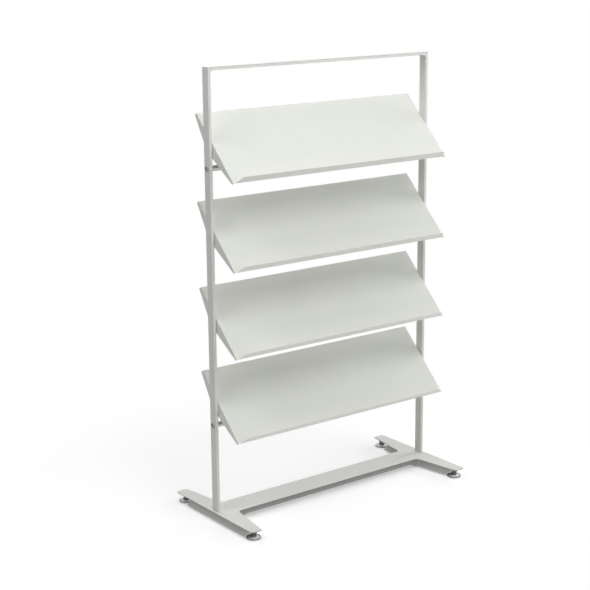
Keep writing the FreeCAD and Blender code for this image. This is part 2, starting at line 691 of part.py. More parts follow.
def make_foot_collar(label, across, back):
    """The moulded collar that holds the stem's swivel button in the pad."""
    body = new_body("foot_collar_" + label)
    profile = new_sketch(body, "profile", "XZ_Plane")
    neck = "stem_neck_radius + stem_clearance"
    spigot = "collar_spigot - thread_clearance"
    cavity = "stem_button_radius + swivel_gap"
    add_loop(profile, [("0", "glide_thickness"),
                       (spigot, "glide_thickness"),
                       (spigot, "pad_hub_top"),
                       ("collar_radius", "pad_hub_top"),
                       ("collar_radius", "collar_top - collar_bevel"),
                       ("collar_radius - collar_bevel", "collar_top"),
                       (neck, "collar_top"),
                       (neck, "button_top + swivel_gap"),
                       (cavity, "button_top + swivel_gap"),
                       (cavity, "button_bottom - swivel_gap"),
                       ("0", "button_bottom - swivel_gap")])
    turn_profile(body, profile, "V_Axis", "collar")
    place(body, across, back)


def make_foot_glide(label, across, back):
    """The soft disc that the rack stands on."""
    body = new_body("foot_glide_" + label)
    section = new_sketch(body, "section", "XY_Plane")
    add_circle(section, "0", "0", "glide_radius")
    pad(body, section, "glide_thickness", name="disc")
    place(body, across, back)


def make_foot_stem(label, across, back):
    """A threaded stem with a hexagon for a spanner and a button that swivels in the collar."""
    body = new_body("foot_stem_" + label)
    profile = new_sketch(body, "profile", "XZ_Plane")
    add_loop(profile, [("0", "button_bottom"),
                       ("stem_button_radius", "button_bottom"),
                       ("stem_button_radius", "button_top"),
                       ("stem_neck_radius", "button_top"),
                       ("stem_neck_radius", "hexagon_bottom"),
                       ("stem_radius", "hexagon_bottom"),
                       ("stem_radius", "stem_top"),
                       ("0", "stem_top")])
    turn_profile(body, profile, "V_Axis", "stem")
    spanner = new_sketch(body, "hexagon_section", "XY_Plane", "hexagon_bottom")
    add_loop(spanner, hexagon("stem_flats"))
    pad(body, spanner, "stem_hexagon", name="hexagon")
    place(body, across, back)


# ---------------------------------------------------------------- assembly

for side in SIDES:
    make_post(side)
    make_corner_gusset(side)
    make_end_plug(side)
    make_backing_plate(side)
    make_post_screws(side)
make_top_bar()
make_base()

for name, height in ROD_HEIGHTS.items():
    make_tie_rod(name, height)
    make_rod_plugs(name, height)
    make_rod_bolts(name, height)

for index, pivot in enumerate(TRAY_PIVOTS, start=1):
    tray = "tray_%d" % index
    make_tray(tray, pivot)
    make_tray_screws(tray, pivot)
    make_tray_spacers(tray, pivot)
    make_tray_inserts(tray, pivot)

for end, back in (("front", "-foot_y"), ("rear", "foot_y")):
    make_foot_nuts(end, back)
    for side, across in (("left", "-foot_x"), ("right", "foot_x")):
        label = end + "_" + side
        make_foot_pad(label, across, back)
        make_foot_collar(label, across, back)
        make_foot_glide(label, across, back)
        make_foot_stem(label, across, back)

doc.recompute()
for item in doc.Objects:
    if "Invalid" in item.State or "Error" in item.State:
        raise ValueError("%s of %s failed" % (item.Name, item.Document.Name))

os.makedirs("parts", exist_ok=True)
for body in doc.findObjects("PartDesign::Body"):
    shape = body.Shape
    if shape.isNull() or not shape.isValid():
        raise ValueError(body.Label + " has no valid shape")
    shape.exportStep("parts/%s.step" % body.Label)
    box = shape.BoundBox
    print("%-28s solids %d  volume %10.1f  x %8.1f %8.1f  y %8.1f %8.1f  z %7.1f %7.1f" % (
        body.Label, len(shape.Solids), shape.Volume,
        box.XMin, box.XMax, box.YMin, box.YMax, box.ZMin, box.ZMax))
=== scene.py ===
import json
import math
import bmesh
import bpy
from mathutils import Matrix, Vector


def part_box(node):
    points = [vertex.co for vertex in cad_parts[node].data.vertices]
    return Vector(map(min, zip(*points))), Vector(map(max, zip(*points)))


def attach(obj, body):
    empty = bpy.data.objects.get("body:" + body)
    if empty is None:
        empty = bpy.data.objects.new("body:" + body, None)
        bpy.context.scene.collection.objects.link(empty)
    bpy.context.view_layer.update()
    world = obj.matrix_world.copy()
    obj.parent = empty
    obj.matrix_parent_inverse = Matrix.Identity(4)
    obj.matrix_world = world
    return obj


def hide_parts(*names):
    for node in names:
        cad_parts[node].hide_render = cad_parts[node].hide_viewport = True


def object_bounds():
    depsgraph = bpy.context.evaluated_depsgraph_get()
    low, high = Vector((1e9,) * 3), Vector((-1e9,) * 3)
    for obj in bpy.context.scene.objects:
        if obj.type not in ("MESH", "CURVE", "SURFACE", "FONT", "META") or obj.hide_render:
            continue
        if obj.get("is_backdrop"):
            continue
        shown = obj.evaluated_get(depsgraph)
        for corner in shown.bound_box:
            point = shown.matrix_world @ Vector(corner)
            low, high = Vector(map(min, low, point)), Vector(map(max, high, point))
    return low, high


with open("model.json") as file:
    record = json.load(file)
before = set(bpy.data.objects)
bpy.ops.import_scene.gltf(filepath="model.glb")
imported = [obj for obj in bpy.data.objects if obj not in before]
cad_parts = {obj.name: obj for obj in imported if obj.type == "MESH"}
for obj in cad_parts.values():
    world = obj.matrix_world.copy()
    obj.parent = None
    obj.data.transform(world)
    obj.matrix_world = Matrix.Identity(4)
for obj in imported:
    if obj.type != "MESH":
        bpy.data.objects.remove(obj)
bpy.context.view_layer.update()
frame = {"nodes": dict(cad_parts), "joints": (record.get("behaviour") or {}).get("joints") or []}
nodes = frame["nodes"]
mm = 0.001

# ------------------------------------------------------------------------------------- base
# The base is one sheet of 3 mm steel cut to an H, its edges folded down all round as skirts
# that stop short of the feet, then coated in a matt light grey powder. The skirts are given a
# darker grey as painted shade, darkest just under the fold. The posts are screwed to it from
# below.

BASE_LOW, BASE_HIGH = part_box("base")
BASE_SIDE = BASE_HIGH.x
BASE_TIP = BASE_HIGH.y
BASE_TOP = BASE_HIGH.z
BASE_SHEET = 3 * mm
CROSSBAR_SIDE = 56.5 * mm
ARM_ROOT = 79 * mm
ARM_TIP = 48.6 * mm
ROOT_RADIUS = 18 * mm
TIP_RADIUS = 12 * mm
PLATE_EDGE = 1.6 * mm
SKIRT_FOOT = BASE_LOW.z
CROSSBAR_FOOT = 18 * mm
FRONT_CUT = (241 * mm, 207 * mm)     # where the skirts end, at the plate and at their lower edge
REAR_CUT = (144 * mm, 177 * mm)
STEP_START, STEP_END = 439.5 * mm, 405.5 * mm
SHEET_EDGE = 0.45 * mm               # cut edges of the sheet, rounded by the coat
CORNER_STEPS = 8
FOLD_STEPS = 6
CUT_BEYOND = 10 * mm                 # how far a cutting tool stands out of the sheet
WELD_DISTANCE = 1e-6                 # points closer than this are one
SMOOTH_ANGLE = math.radians(35)
BEVEL_ANGLE = math.radians(45)
BEVEL_SEGMENTS = 2


def add_piece(name, mesh):
    piece = bpy.data.objects.new(name, mesh)
    bpy.context.scene.collection.objects.link(piece)
    return piece


def mesh_of(name, points, faces):
    """A mesh with its doubles merged and its faces turned outwards."""
    mesh = bpy.data.meshes.new(name)
    mesh.from_pydata([tuple(point) for point in points], [], faces)
    work = bmesh.new()
    work.from_mesh(mesh)
    bmesh.ops.remove_doubles(work, verts=work.verts, dist=WELD_DISTANCE)
    bmesh.ops.dissolve_degenerate(work, edges=work.edges, dist=WELD_DISTANCE)
    bmesh.ops.recalc_face_normals(work, faces=work.faces)
    work.to_mesh(mesh)
    work.free()
    return mesh


def settle(piece):
    """Turns the piece's modifiers into its plain mesh."""
    graph = bpy.context.evaluated_depsgraph_get()
    graph.update()
    mesh = bpy.data.meshes.new_from_object(piece.evaluated_get(graph))
    piece.modifiers.clear()
    old = piece.data
    piece.data = mesh
    bpy.data.meshes.remove(old)
    return piece


def soften(piece, width):
    """Rounds the sharp edges and shades the piece so that its flat faces stay flat."""
    if width:
        bevel = piece.modifiers.new("edges", "BEVEL")
        bevel.width = width
        bevel.segments = BEVEL_SEGMENTS
        bevel.limit_method = "ANGLE"
        bevel.angle_limit = BEVEL_ANGLE
        settle(piece)
    piece.data.shade_smooth()
    piece.data.set_sharp_from_angle(angle=SMOOTH_ANGLE)
    weigh = piece.modifiers.new("shading", "WEIGHTED_NORMAL")
    weigh.keep_sharp = True
    return settle(piece)


def left_of(direction):
    return Vector((-direction.y, direction.x))


def rounded_outline(corners, steps):
    """Stations (point, inward normal) round a closed outline, anticlockwise, given as corners
    (x, y, radius)."""
    stations = []
    count = len(corners)
    for index, (x, y, radius) in enumerate(corners):
        here = Vector((x, y))
        before = Vector(corners[index - 1][:2])
        after = Vector(corners[(index + 1) % count][:2])
        going_in, going_out = (here - before).normalized(), (after - here).normalized()
        turn = math.atan2(going_in.x * going_out.y - going_in.y * going_out.x,
                          going_in.dot(going_out))
        if radius == 0:
            inward = (left_of(going_in) + left_of(going_out)) / (1 + math.cos(turn))
            stations.append((here, inward))
            continue
        side = math.copysign(1, turn)
        start = here - going_in * radius * math.tan(abs(turn) / 2)
        centre = start + left_of(going_in) * radius * side
        for step in range(steps + 1):
            direction = going_in.copy()
            direction.rotate(Matrix.Rotation(turn * step / steps, 2))
            normal = left_of(direction)
            stations.append((centre - normal * radius * side, normal))
    return stations


def band(around, across):
    """The faces of a closed band of points: around rows of them, each of across points."""
    return [(index * across + step, (index + 1) % around * across + step,
             (index + 1) % around * across + step + 1, index * across + step + 1)
            for index in range(around) for step in range(across - 1)]


def ring_solid(name, stations, profile, place):
    """Carries a profile of (inset, level) round the stations and closes both ends with a cap.
    place turns (x, y, level) into the point in space."""
    points = []
    around, across = len(stations), len(profile)
    for point, normal in stations:
        for inset, level in profile:
            flat = point + normal * inset
            points.append(place(flat.x, flat.y, level))
    caps = [[index * across + step for index in range(around)] for step in (0, across - 1)]
    return mesh_of(name, points, band(around, across) + caps)


def arc_points(centre, radius, start, end, steps):
    """Points (inset, level) along an arc from angle start to end, in degrees."""
    return [(centre[0] + radius * math.cos(math.radians(start + (end - start) * step / steps)),
             centre[1] + radius * math.sin(math.radians(start + (end - start) * step / steps)))
            for step in range(steps + 1)]


def prism(name, outline, low, high, place):
    """A solid between two copies of an outline of (u, v); place turns (u, v, w) into a point."""
    count = len(outline)
    points = [place(u, v, w) for w in (low, high) for u, v in outline]
    faces = [(index, (index + 1) % count, count + (index + 1) % count, count + index)
             for index in range(count)]
    return mesh_of(name, points, faces + [range(count), range(count, 2 * count)])


def cut_away(piece, tools, operation="DIFFERENCE"):
    for tool in tools:
        cut = piece.modifiers.new("cut", "BOOLEAN")
        cut.object = tool
        cut.operation = operation
        cut.solver = "EXACT"
        settle(piece)
        bpy.data.objects.remove(tool)
    return piece


quarter = [(BASE_SIDE, BASE_TIP, TIP_RADIUS),
           (BASE_SIDE - ARM_TIP, BASE_TIP, TIP_RADIUS),
           (BASE_SIDE - ARM_ROOT, CROSSBAR_SIDE, ROOT_RADIUS)]
base_corners = (quarter
                + [(-x, y, radius) for x, y, radius in reversed(quarter)]
                + [(-x, -y, radius) for x, y, radius in quarter]
                + [(x, -y, radius) for x, y, radius in reversed(quarter)])
base_profile = (arc_points((PLATE_EDGE, BASE_TOP - PLATE_EDGE), PLATE_EDGE, 90, 180,
                           FOLD_STEPS)
                + [(0, SKIRT_FOOT), (BASE_SHEET, SKIRT_FOOT), (BASE_SHEET, BASE_TOP - BASE_SHEET)])
base_outline = rounded_outline(base_corners, CORNER_STEPS)
base = add_piece("base_plate", ring_solid("base_plate", base_outline, base_profile,
                                          lambda x, y, z: (x, y, z)))
reach = BASE_SIDE + CUT_BEYOND
underside = BASE_TOP - BASE_SHEET
beyond = BASE_TIP + CUT_BEYOND
cutters = []
for sign, (at_plate, at_foot) in ((-1, FRONT_CUT), (1, REAR_CUT)):
    wedge = [(sign * at_plate, underside), (sign * at_foot, SKIRT_FOOT), (sign * at_foot, 0),
             (sign * beyond, 0), (sign * beyond, underside)]
    cutters.append(add_piece("skirt_cut", prism("skirt_cut", wedge, -reach, reach,
                                                lambda y, z, x: (x, y, z))))
step_rise = CROSSBAR_FOOT - SKIRT_FOOT
step_curve = [(STEP_START + (STEP_END - STEP_START) * step / CORNER_STEPS,
               SKIRT_FOOT + step_rise * math.sin(math.pi / 2 * step / CORNER_STEPS))
              for step in range(CORNER_STEPS + 1)]
crossbar_gap = ([(STEP_START, 0)] + step_curve
                + [(-x, z) for x, z in reversed(step_curve)] + [(-STEP_START, 0)])
cutters.append(add_piece("crossbar_cut", prism("crossbar_cut", crossbar_gap, -beyond, beyond,
                                               lambda x, z, y: (x, y, z))))
cut_away(base, cutters)
soften(base, SHEET_EDGE)


def new_group(name, inputs):
    """A finish as a shader node group, with named inputs that are colours or numbers."""
    group = bpy.data.node_groups.new(name, "ShaderNodeTree")
    for label, value in inputs.items():
        kind = "NodeSocketColor" if isinstance(value, tuple) else "NodeSocketFloat"
        socket = group.interface.new_socket(label, in_out="INPUT", socket_type=kind)
        socket.default_value = value
    for label, kind in (("Colour", "NodeSocketColor"), ("Roughness", "NodeSocketFloat"),
                        ("Height", "NodeSocketFloat")):
        group.interface.new_socket(label, in_out="OUTPUT", socket_type=kind)
    return group, group.nodes.new("NodeGroupInput"), group.nodes.new("NodeGroupOutput")


def new_node(tree, kind, inputs, **settings):
    """A node with its settings made, and its inputs set to values or linked to outputs."""
    node = tree.nodes.new(kind)
    for label, value in settings.items():
        setattr(node, label, value)
    for label, value in inputs.items():
        if isinstance(value, bpy.types.NodeSocket):
            tree.links.new(value, node.inputs[label])
        else:
            node.inputs[label].default_value = value
    return node


def object_place(tree):
    return tree.nodes.new("ShaderNodeTexCoord").outputs["Object"]


def math_node(tree, operation, first, second):
    return new_node(tree, "ShaderNodeMath", {0: first, 1: second},
                    operation=operation).outputs[0]


def noise_node(tree, vector, scale, detail):
    return new_node(tree, "ShaderNodeTexNoise", {"Vector": vector, "Scale": scale,
                                                 "Detail": detail}).outputs["Fac"]


NOISE_LOW, NOISE_HIGH = 0.3, 0.7      # most noise values lie between these


def range_node(tree, value, low, high):
    """Spreads a noise value over low to high."""
    return new_node(tree, "ShaderNodeMapRange",
                    {"Value": value, "From Min": NOISE_LOW, "From Max": NOISE_HIGH,
                     "To Min": low, "To Max": high}).outputs["Result"]


def shade_node(tree, colour, factor):
    """The colour made lighter or darker by a factor near 1."""
    return new_node(tree, "ShaderNodeVectorMath", {0: colour, "Scale": factor},
                    operation="SCALE").outputs[0]


PEEL_SCALE, SPECKLE_SCALE, CLOUD_SCALE = 420.0, 2600.0, 5.0
SMUDGE_SCALE, PATCH_SCALE = 45.0, 60.0


def build_powder_group():
    """Powder coat: a fine orange-peel skin, a faint speckle, and soft clouds where the film is
    thicker or has been wiped."""
    group, given, result = new_group(
        "powder_coat", {"Colour": (0.7, 0.7, 0.7, 1), "Peel": PEEL_SCALE, "Clouds": 0.02,
                        "Gloss": 0.5})
    place = object_place(group)
    peel = noise_node(group, place, given.outputs["Peel"], 1.5)
    speckle = noise_node(group, place, SPECKLE_SCALE, 1.0)
    clouds = noise_node(group, place, CLOUD_SCALE, 3.0)
    low = math_node(group, "SUBTRACT", 1.0, given.outputs["Clouds"])
    high = math_node(group, "ADD", 1.0, given.outputs["Clouds"])
    tone = math_node(group, "MULTIPLY", range_node(group, clouds, low, high),
                     range_node(group, speckle, 0.985, 1.015))
    group.links.new(shade_node(group, given.outputs["Colour"], tone), result.inputs["Colour"])
    wiped = range_node(group, clouds, -0.04, 0.04)
    group.links.new(math_node(group, "ADD", given.outputs["Gloss"], wiped),
                    result.inputs["Roughness"])
    grain = math_node(group, "MULTIPLY", speckle, 0.25)
    group.links.new(math_node(group, "ADD", peel, grain), result.inputs["Height"])
    return group


def finish_material(name, group, values, metallic=0.0, specular=0.5, bump=0.1, depth=0.0001):
    """A material that reads its colour, roughness and relief from a finish group."""
    material = bpy.data.materials.new(name)
    material.use_nodes = True
    tree = material.node_tree
    shader = tree.nodes["Principled BSDF"]
    shader.inputs["Metallic"].default_value = metallic
    shader.inputs["Specular IOR Level"].default_value = specular
    finish = new_node(tree, "ShaderNodeGroup", values, node_tree=group)
    relief = new_node(tree, "ShaderNodeBump", {"Strength": bump, "Distance": depth,
                                               "Height": finish.outputs["Height"]})
    tree.links.new(finish.outputs["Colour"], shader.inputs["Base Color"])
    tree.links.new(finish.outputs["Roughness"], shader.inputs["Roughness"])
    tree.links.new(relief.outputs["Normal"], shader.inputs["Normal"])
    return material


powder_group = build_powder_group()
FRAME_GREY = (0.742, 0.743, 0.712, 1)
frame_coat = finish_material("frame_powder_coat", powder_group,
                             {"Colour": FRAME_GREY, "Peel": PEEL_SCALE, "Clouds": 0.02,
                              "Gloss": 0.5}, specular=0.4)
base.data.materials.append(frame_coat)

# The skirts' grey is darkened as painted shade, and the crossbar's, which faces the front, darker
# still.
ARM_SKIRT_PAINTED_SHADE = (0.41, 0.64)       # painted shade: just under the fold, and at the lower edge
CROSSBAR_SKIRT_PAINTED_SHADE = (0.26, 0.42)
BLUE_SHARE = 0.98                    # of the tone, so that the grey is a little warm
SHADED_SKIRT_RISE = 0.75                    # a face whose normal rises less than this gets the skirts' painted shade
SHADED_CROSSBAR_FACING = 0.58               # and the crossbar's darker painted shade, if it faces front or rear this much


def build_skirt_shade_coat(name, shade_tones):
    """Painted shade for the folded skirts: the powder's colour darkened, darkest just under the
    fold and lighter towards the lower edge.
    """
    upper, lower = shade_tones
    coat = finish_material(name, powder_group,
                           {"Peel": PEEL_SCALE, "Clouds": 0.02, "Gloss": 0.6}, specular=0.3)
    tree = coat.node_tree
    height = new_node(tree, "ShaderNodeSeparateXYZ", {0: object_place(tree)})
    rise = new_node(tree, "ShaderNodeMapRange",
                    {"Value": height.outputs["Z"], "From Min": SKIRT_FOOT,
                     "From Max": BASE_TOP - PLATE_EDGE})
    painted_shade_blend = new_node(tree, "ShaderNodeMix",
                     {"Factor": rise.outputs["Result"],
                      "A": (lower, lower, lower * BLUE_SHARE, 1),
                      "B": (upper, upper, upper * BLUE_SHARE, 1)}, data_type="RGBA")
    powder = next(node for node in tree.nodes if node.type == "GROUP")
    tree.links.new(painted_shade_blend.outputs["Result"], powder.inputs["Colour"])
    return coat


base.data.materials.append(build_skirt_shade_coat("arm_skirt_painted_shade", ARM_SKIRT_PAINTED_SHADE))
base.data.materials.append(build_skirt_shade_coat("crossbar_skirt_painted_shade", CROSSBAR_SKIRT_PAINTED_SHADE))
# Skirt faces take the painted shade, the crossbar's front and rear the darker one.
for face in base.data.polygons:
    if abs(face.normal.z) < SHADED_SKIRT_RISE:
        face.material_index = 2 if abs(face.normal.y) > SHADED_CROSSBAR_FACING else 1
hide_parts("base")
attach(base, "frame")

# ----------------------------------------------------------------------------- portal frame
# Two posts and a top bar of 36 x 12 mm flat tube, mitred, welded and ground flush, with a
# small hollow curve left inside each corner. Coated with the base's powder.

POST_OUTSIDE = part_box("right_post")[1].x
POST_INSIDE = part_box("right_post")[0].x
TUBE_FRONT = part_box("top_bar")[0].y
FRAME_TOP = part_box("top_bar")[1].z
BAR_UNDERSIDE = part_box("top_bar")[0].z
CORNER_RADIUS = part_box("right_corner_gusset")[1].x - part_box("right_corner_gusset")[0].x
TUBE_EDGE = 1.6 * mm
TUBE_STEPS = 5
MITRE_RADIUS = 1.0 * mm

portal_corners = [(POST_OUTSIDE, BASE_TOP, 0), (POST_OUTSIDE, FRAME_TOP, MITRE_RADIUS),
                  (-POST_OUTSIDE, FRAME_TOP, MITRE_RADIUS), (-POST_OUTSIDE, BASE_TOP, 0),
                  (-POST_INSIDE, BASE_TOP, 0), (-POST_INSIDE, BAR_UNDERSIDE, CORNER_RADIUS),
                  (POST_INSIDE, BAR_UNDERSIDE, CORNER_RADIUS), (POST_INSIDE, BASE_TOP, 0)]
tube_profile = (arc_points((TUBE_EDGE, TUBE_FRONT + TUBE_EDGE), TUBE_EDGE, 270, 180,
                           TUBE_STEPS)
                + arc_points((TUBE_EDGE, -TUBE_FRONT - TUBE_EDGE), TUBE_EDGE, 180, 90,
                             TUBE_STEPS))
portal_outline = rounded_outline(portal_corners, CORNER_STEPS)
portal = add_piece("portal_frame", ring_solid("portal_frame", portal_outline, tube_profile,
                                              lambda x, z, y: (x, y, z)))
soften(portal, 0)
portal.data.materials.append(frame_coat)
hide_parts("left_post", "right_post", "top_bar", "left_corner_gusset",
            "right_corner_gusset")
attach(portal, "frame")

# ------------------------------------------------------------------------------------ trays
# Each tray is one sheet of 1.2 mm steel: a lip folded up along the front, a narrow return
# folded down along the back, and a deep pointed flange folded down at each end for the pivot.
# The corners are notched so that the folds don't meet. Matt light grey powder.

TRAY_SHEET = 1.2 * mm
TRAY_DEPTH = 321 * mm
TRAY_FRONT = -173 * mm
TRAY_FACE = 27.6 * mm
TRAY_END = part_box("tray_1")[1].x
LIP_HEIGHT = 37.5 * mm
LIP_LEAN = math.radians(4)
LIP_INSET = 12 * mm                   # at the fold, and at the lip's top on the left and right
LIP_TOP_INSET = (26 * mm, 34 * mm)
LIP_BEND = 1.2 * mm
SIDE_BEND = 2.2 * mm
RETURN_DEPTH = 10 * mm
FLANGE_DEPTHS = (8.4 * mm, 48 * mm, 10.6 * mm)
FLANGE_PEAK = 183 * mm
NOTCH = 0.8 * mm
BEND_STEPS = 6
TRAY_EDGE = 0.25 * mm
tray_back = TRAY_FRONT + TRAY_DEPTH


class Sheet:
    """The upper skin of a folded sheet, gathered strip by strip."""

    def __init__(self):
        self.points, self.faces = [], []

    def strip(self, rows):
        """Joins rows of points, each as long as the others, with four-sided faces."""
        start, width = len(self.points), len(rows[0])
        for row in rows:
            self.points += row
        for up in range(len(rows) - 1):
            for across in range(width - 1):
                corner = start + up * width + across
                self.faces.append((corner, corner + 1, corner + width + 1, corner + width))

    def outline(self, points):
        start = len(self.points)
        self.points += points
        self.faces.append(list(range(start, start + len(points))))


def tray_skin():
    """The tray's upper skin about its pivot axis, with the face level: x along, y back."""
    skin = Sheet()
    lip_low = TRAY_END - LIP_INSET
    side = TRAY_END - SIDE_BEND
    rear = tray_back - SIDE_BEND
    tangent = LIP_BEND * math.tan((math.pi / 2 - LIP_LEAN) / 2)
    bend_y = TRAY_FRONT + tangent
    wide = [-side, -lip_low, lip_low, side]
    skin.strip([[(x, bend_y, TRAY_FACE) for x in wide],
                [(x, rear, TRAY_FACE) for x in wide]])
    for sign in (-1, 1):
        skin.outline([(sign * x, y, TRAY_FACE) for x, y in
                      ((lip_low, TRAY_FRONT), (side, TRAY_FRONT), (side, bend_y),
                       (lip_low, bend_y))][::sign])

    # the lip, up from the front
    rows = []
    for step in range(BEND_STEPS + 1):
        angle = math.radians(270) - (math.pi / 2 - LIP_LEAN) * step / BEND_STEPS
        y = bend_y + LIP_BEND * math.cos(angle)
        z = TRAY_FACE + LIP_BEND + LIP_BEND * math.sin(angle)
        rows.append([(-lip_low, y, z), (lip_low, y, z)])
    top_y = TRAY_FRONT - LIP_HEIGHT * math.sin(LIP_LEAN)
    top_z = TRAY_FACE + LIP_HEIGHT * math.cos(LIP_LEAN)
    rows.append([(LIP_TOP_INSET[0] - TRAY_END, top_y, top_z),
                 (TRAY_END - LIP_TOP_INSET[1], top_y, top_z)])
    skin.strip([row[::-1] for row in rows])

    # the return, down from the back
    clear = side - NOTCH
    rows = [[(-clear, rear, TRAY_FACE), (clear, rear, TRAY_FACE)]]
    for step in range(1, BEND_STEPS + 1):
        angle = math.pi / 2 * step / BEND_STEPS
        y = rear + SIDE_BEND * math.sin(angle)
        z = TRAY_FACE - SIDE_BEND + SIDE_BEND * math.cos(angle)
        rows.append([(-clear, y, z), (clear, y, z)])
    rows.append([(x, y, TRAY_FACE - RETURN_DEPTH) for x, y, _ in rows[-1]])
    skin.strip(rows)

    # the end flanges, down from both ends
    first, last = TRAY_FRONT, rear - NOTCH
    for sign in (-1, 1):
        rows = []
        for step in range(BEND_STEPS + 1):
            angle = math.pi / 2 * step / BEND_STEPS
            x = sign * (side + SIDE_BEND * math.sin(angle))
            z = TRAY_FACE - SIDE_BEND + SIDE_BEND * math.cos(angle)
            rows.append([(x, first, z), (x, bend_y, z), (x, last, z)])
        skin.strip([row[::sign] for row in rows])
        x = sign * TRAY_END
        fold_z = TRAY_FACE - SIDE_BEND
        skin.outline([(x, y, z) for y, z in (
            (first, fold_z), (first, TRAY_FACE - FLANGE_DEPTHS[0]),
            (first + FLANGE_PEAK, TRAY_FACE - FLANGE_DEPTHS[1]),
            (tray_back, TRAY_FACE - FLANGE_DEPTHS[2]), (tray_back, fold_z - NOTCH),
            (last, fold_z - NOTCH), (last, fold_z), (bend_y, fold_z))][::sign])
    return skin


TRAY_GREY = (0.771, 0.786, 0.742, 1)
tray_coat = finish_material("tray_powder_coat", powder_group,
                            {"Colour": TRAY_GREY, "Peel": 380.0, "Clouds": 0.015,
                             "Gloss": 0.55}, specular=0.4)
tray_hinges = {joint["child"]: joint for joint in frame["joints"]
               if joint["name"].startswith("tray_")}
TRAY_SLOPE = math.radians(45)
skin = tray_skin()
for body, hinge in sorted(tray_hinges.items()):
    turn = Matrix.Translation(Vector(hinge["pos_m"])) @ Matrix.Rotation(TRAY_SLOPE, 4, "X")
    mesh = mesh_of(body + "_sheet", [turn @ Vector(point) for point in skin.points], skin.faces)
    up = Vector((0, -math.sin(TRAY_SLOPE), math.cos(TRAY_SLOPE)))
    largest = max(mesh.polygons, key=lambda face: face.area)
    if largest.normal.dot(up) < 0:
        mesh.flip_normals()
    tray = add_piece(body + "_sheet", mesh)
    wall = tray.modifiers.new("sheet", "SOLIDIFY")
    wall.thickness = TRAY_SHEET
    wall.offset = -1
    wall.use_even_offset = True
    soften(tray, TRAY_EDGE)
    tray.data.materials.append(tray_coat)
    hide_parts(body)
    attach(tray, body)

# ----------------------------------------------------------------- screws, washers and bolts
# Every tray hangs on a button-head screw through each end flange, with a hard plastic washer
# between flange and post. Each tie rod is held by a bolt through the post, whose flat nickelled
# head has a hexagon socket sunk in a dish; dish and socket are coloured near black as painted
# shade.


def lathe(name, profile, sides, axis="Z"):
    """A closed solid turned from a profile of (radius, height), about Z or along X."""
    points = []
    for side in range(sides):
        angle = 2 * math.pi * side / sides
        for radius, height in profile:
            points.append((radius * math.cos(angle), radius * math.sin(angle), height))
    rows = len(profile)
    faces = band(sides, rows)
    for end in (0, rows - 1):
        if profile[end][0] > 0:
            faces.append([side * rows + end for side in range(sides)])
    if axis == "X":
        points = [(z, x, y) for x, y, z in points]
    return mesh_of(name, points, faces)


def hexagon_outline(flats, start):
    """The corners of a hexagon, the first of them at an angle of start degrees."""
    reach = flats / math.sqrt(3)
    return [(reach * math.cos(math.radians(angle)), reach * math.sin(math.radians(angle)))
            for angle in range(start, start + 360, 60)]


def sunk_hexagon(piece, flats, low, high):
    """Sinks a hexagon socket along X into the end of a fastener."""
    tool = add_piece("socket_cut", prism("socket_cut", hexagon_outline(flats, 30), low, high,
                                         lambda y, z, x: (x, y, z)))
    return cut_away(piece, [tool])


def build_pairs_tree():
    """Sets the fastener that it is given in pairs, one on each side of the rack and facing
    opposite ways, in a row of levels from the top down."""
    tree = bpy.data.node_groups.new("fasteners_in_pairs", "GeometryNodeTree")
    sockets = {}
    rows = (("Fastener", "NodeSocketGeometry"), ("Levels", "NodeSocketInt"),
            ("Top", "NodeSocketFloat"), ("Pitch", "NodeSocketFloat"),
            ("Half Width", "NodeSocketFloat"), ("Finish", "NodeSocketMaterial"))
    for label, kind in rows:
        sockets[label] = tree.interface.new_socket(label, in_out="INPUT", socket_type=kind)
    tree.interface.new_socket("Geometry", in_out="OUTPUT", socket_type="NodeSocketGeometry")
    given, result = tree.nodes.new("NodeGroupInput"), tree.nodes.new("NodeGroupOutput")
    both = tree.nodes.new("GeometryNodeJoinGeometry")
    drop = math_node(tree, "MULTIPLY", given.outputs["Pitch"], -1)
    step = new_node(tree, "ShaderNodeCombineXYZ", {"Z": drop})
    for sign in (-1, 1):
        side = math_node(tree, "MULTIPLY", given.outputs["Half Width"], sign)
        start = new_node(tree, "ShaderNodeCombineXYZ", {"X": side, "Z": given.outputs["Top"]})
        line = new_node(tree, "GeometryNodeMeshLine",
                        {"Count": given.outputs["Levels"], "Start Location": start.outputs[0],
                         "Offset": step.outputs[0]})
        copies = new_node(tree, "GeometryNodeInstanceOnPoints",
                          {"Points": line.outputs[0], "Instance": given.outputs["Fastener"],
                           "Rotation": (0, 0, 0 if sign > 0 else math.pi)})
        tree.links.new(copies.outputs[0], both.inputs[0])
    real = new_node(tree, "GeometryNodeRealizeInstances", {0: both.outputs[0]})
    finish = new_node(tree, "GeometryNodeSetMaterial",
                      {"Geometry": real.outputs[0], "Material": given.outputs["Finish"]})
    tree.links.new(finish.outputs[0], result.inputs[0])
    return tree, {label: socket.identifier for label, socket in sockets.items()}


pairs_tree, pairs_sockets = build_pairs_tree()


def set_in_pairs(piece, levels, top, pitch, half_width, finish):
    rows = piece.modifiers.new("pairs", "NODES")
    rows.node_group = pairs_tree
    for label, value in (("Levels", levels), ("Top", top), ("Pitch", pitch),
                         ("Half Width", half_width), ("Finish", finish)):
        rows[pairs_sockets[label]] = value
    settle(piece)
    piece.data.materials.clear()         # the fastener's own empty slot goes
    piece.data.materials.append(finish)
    piece.data.polygons.foreach_set("material_index", [0] * len(piece.data.polygons))
    return piece


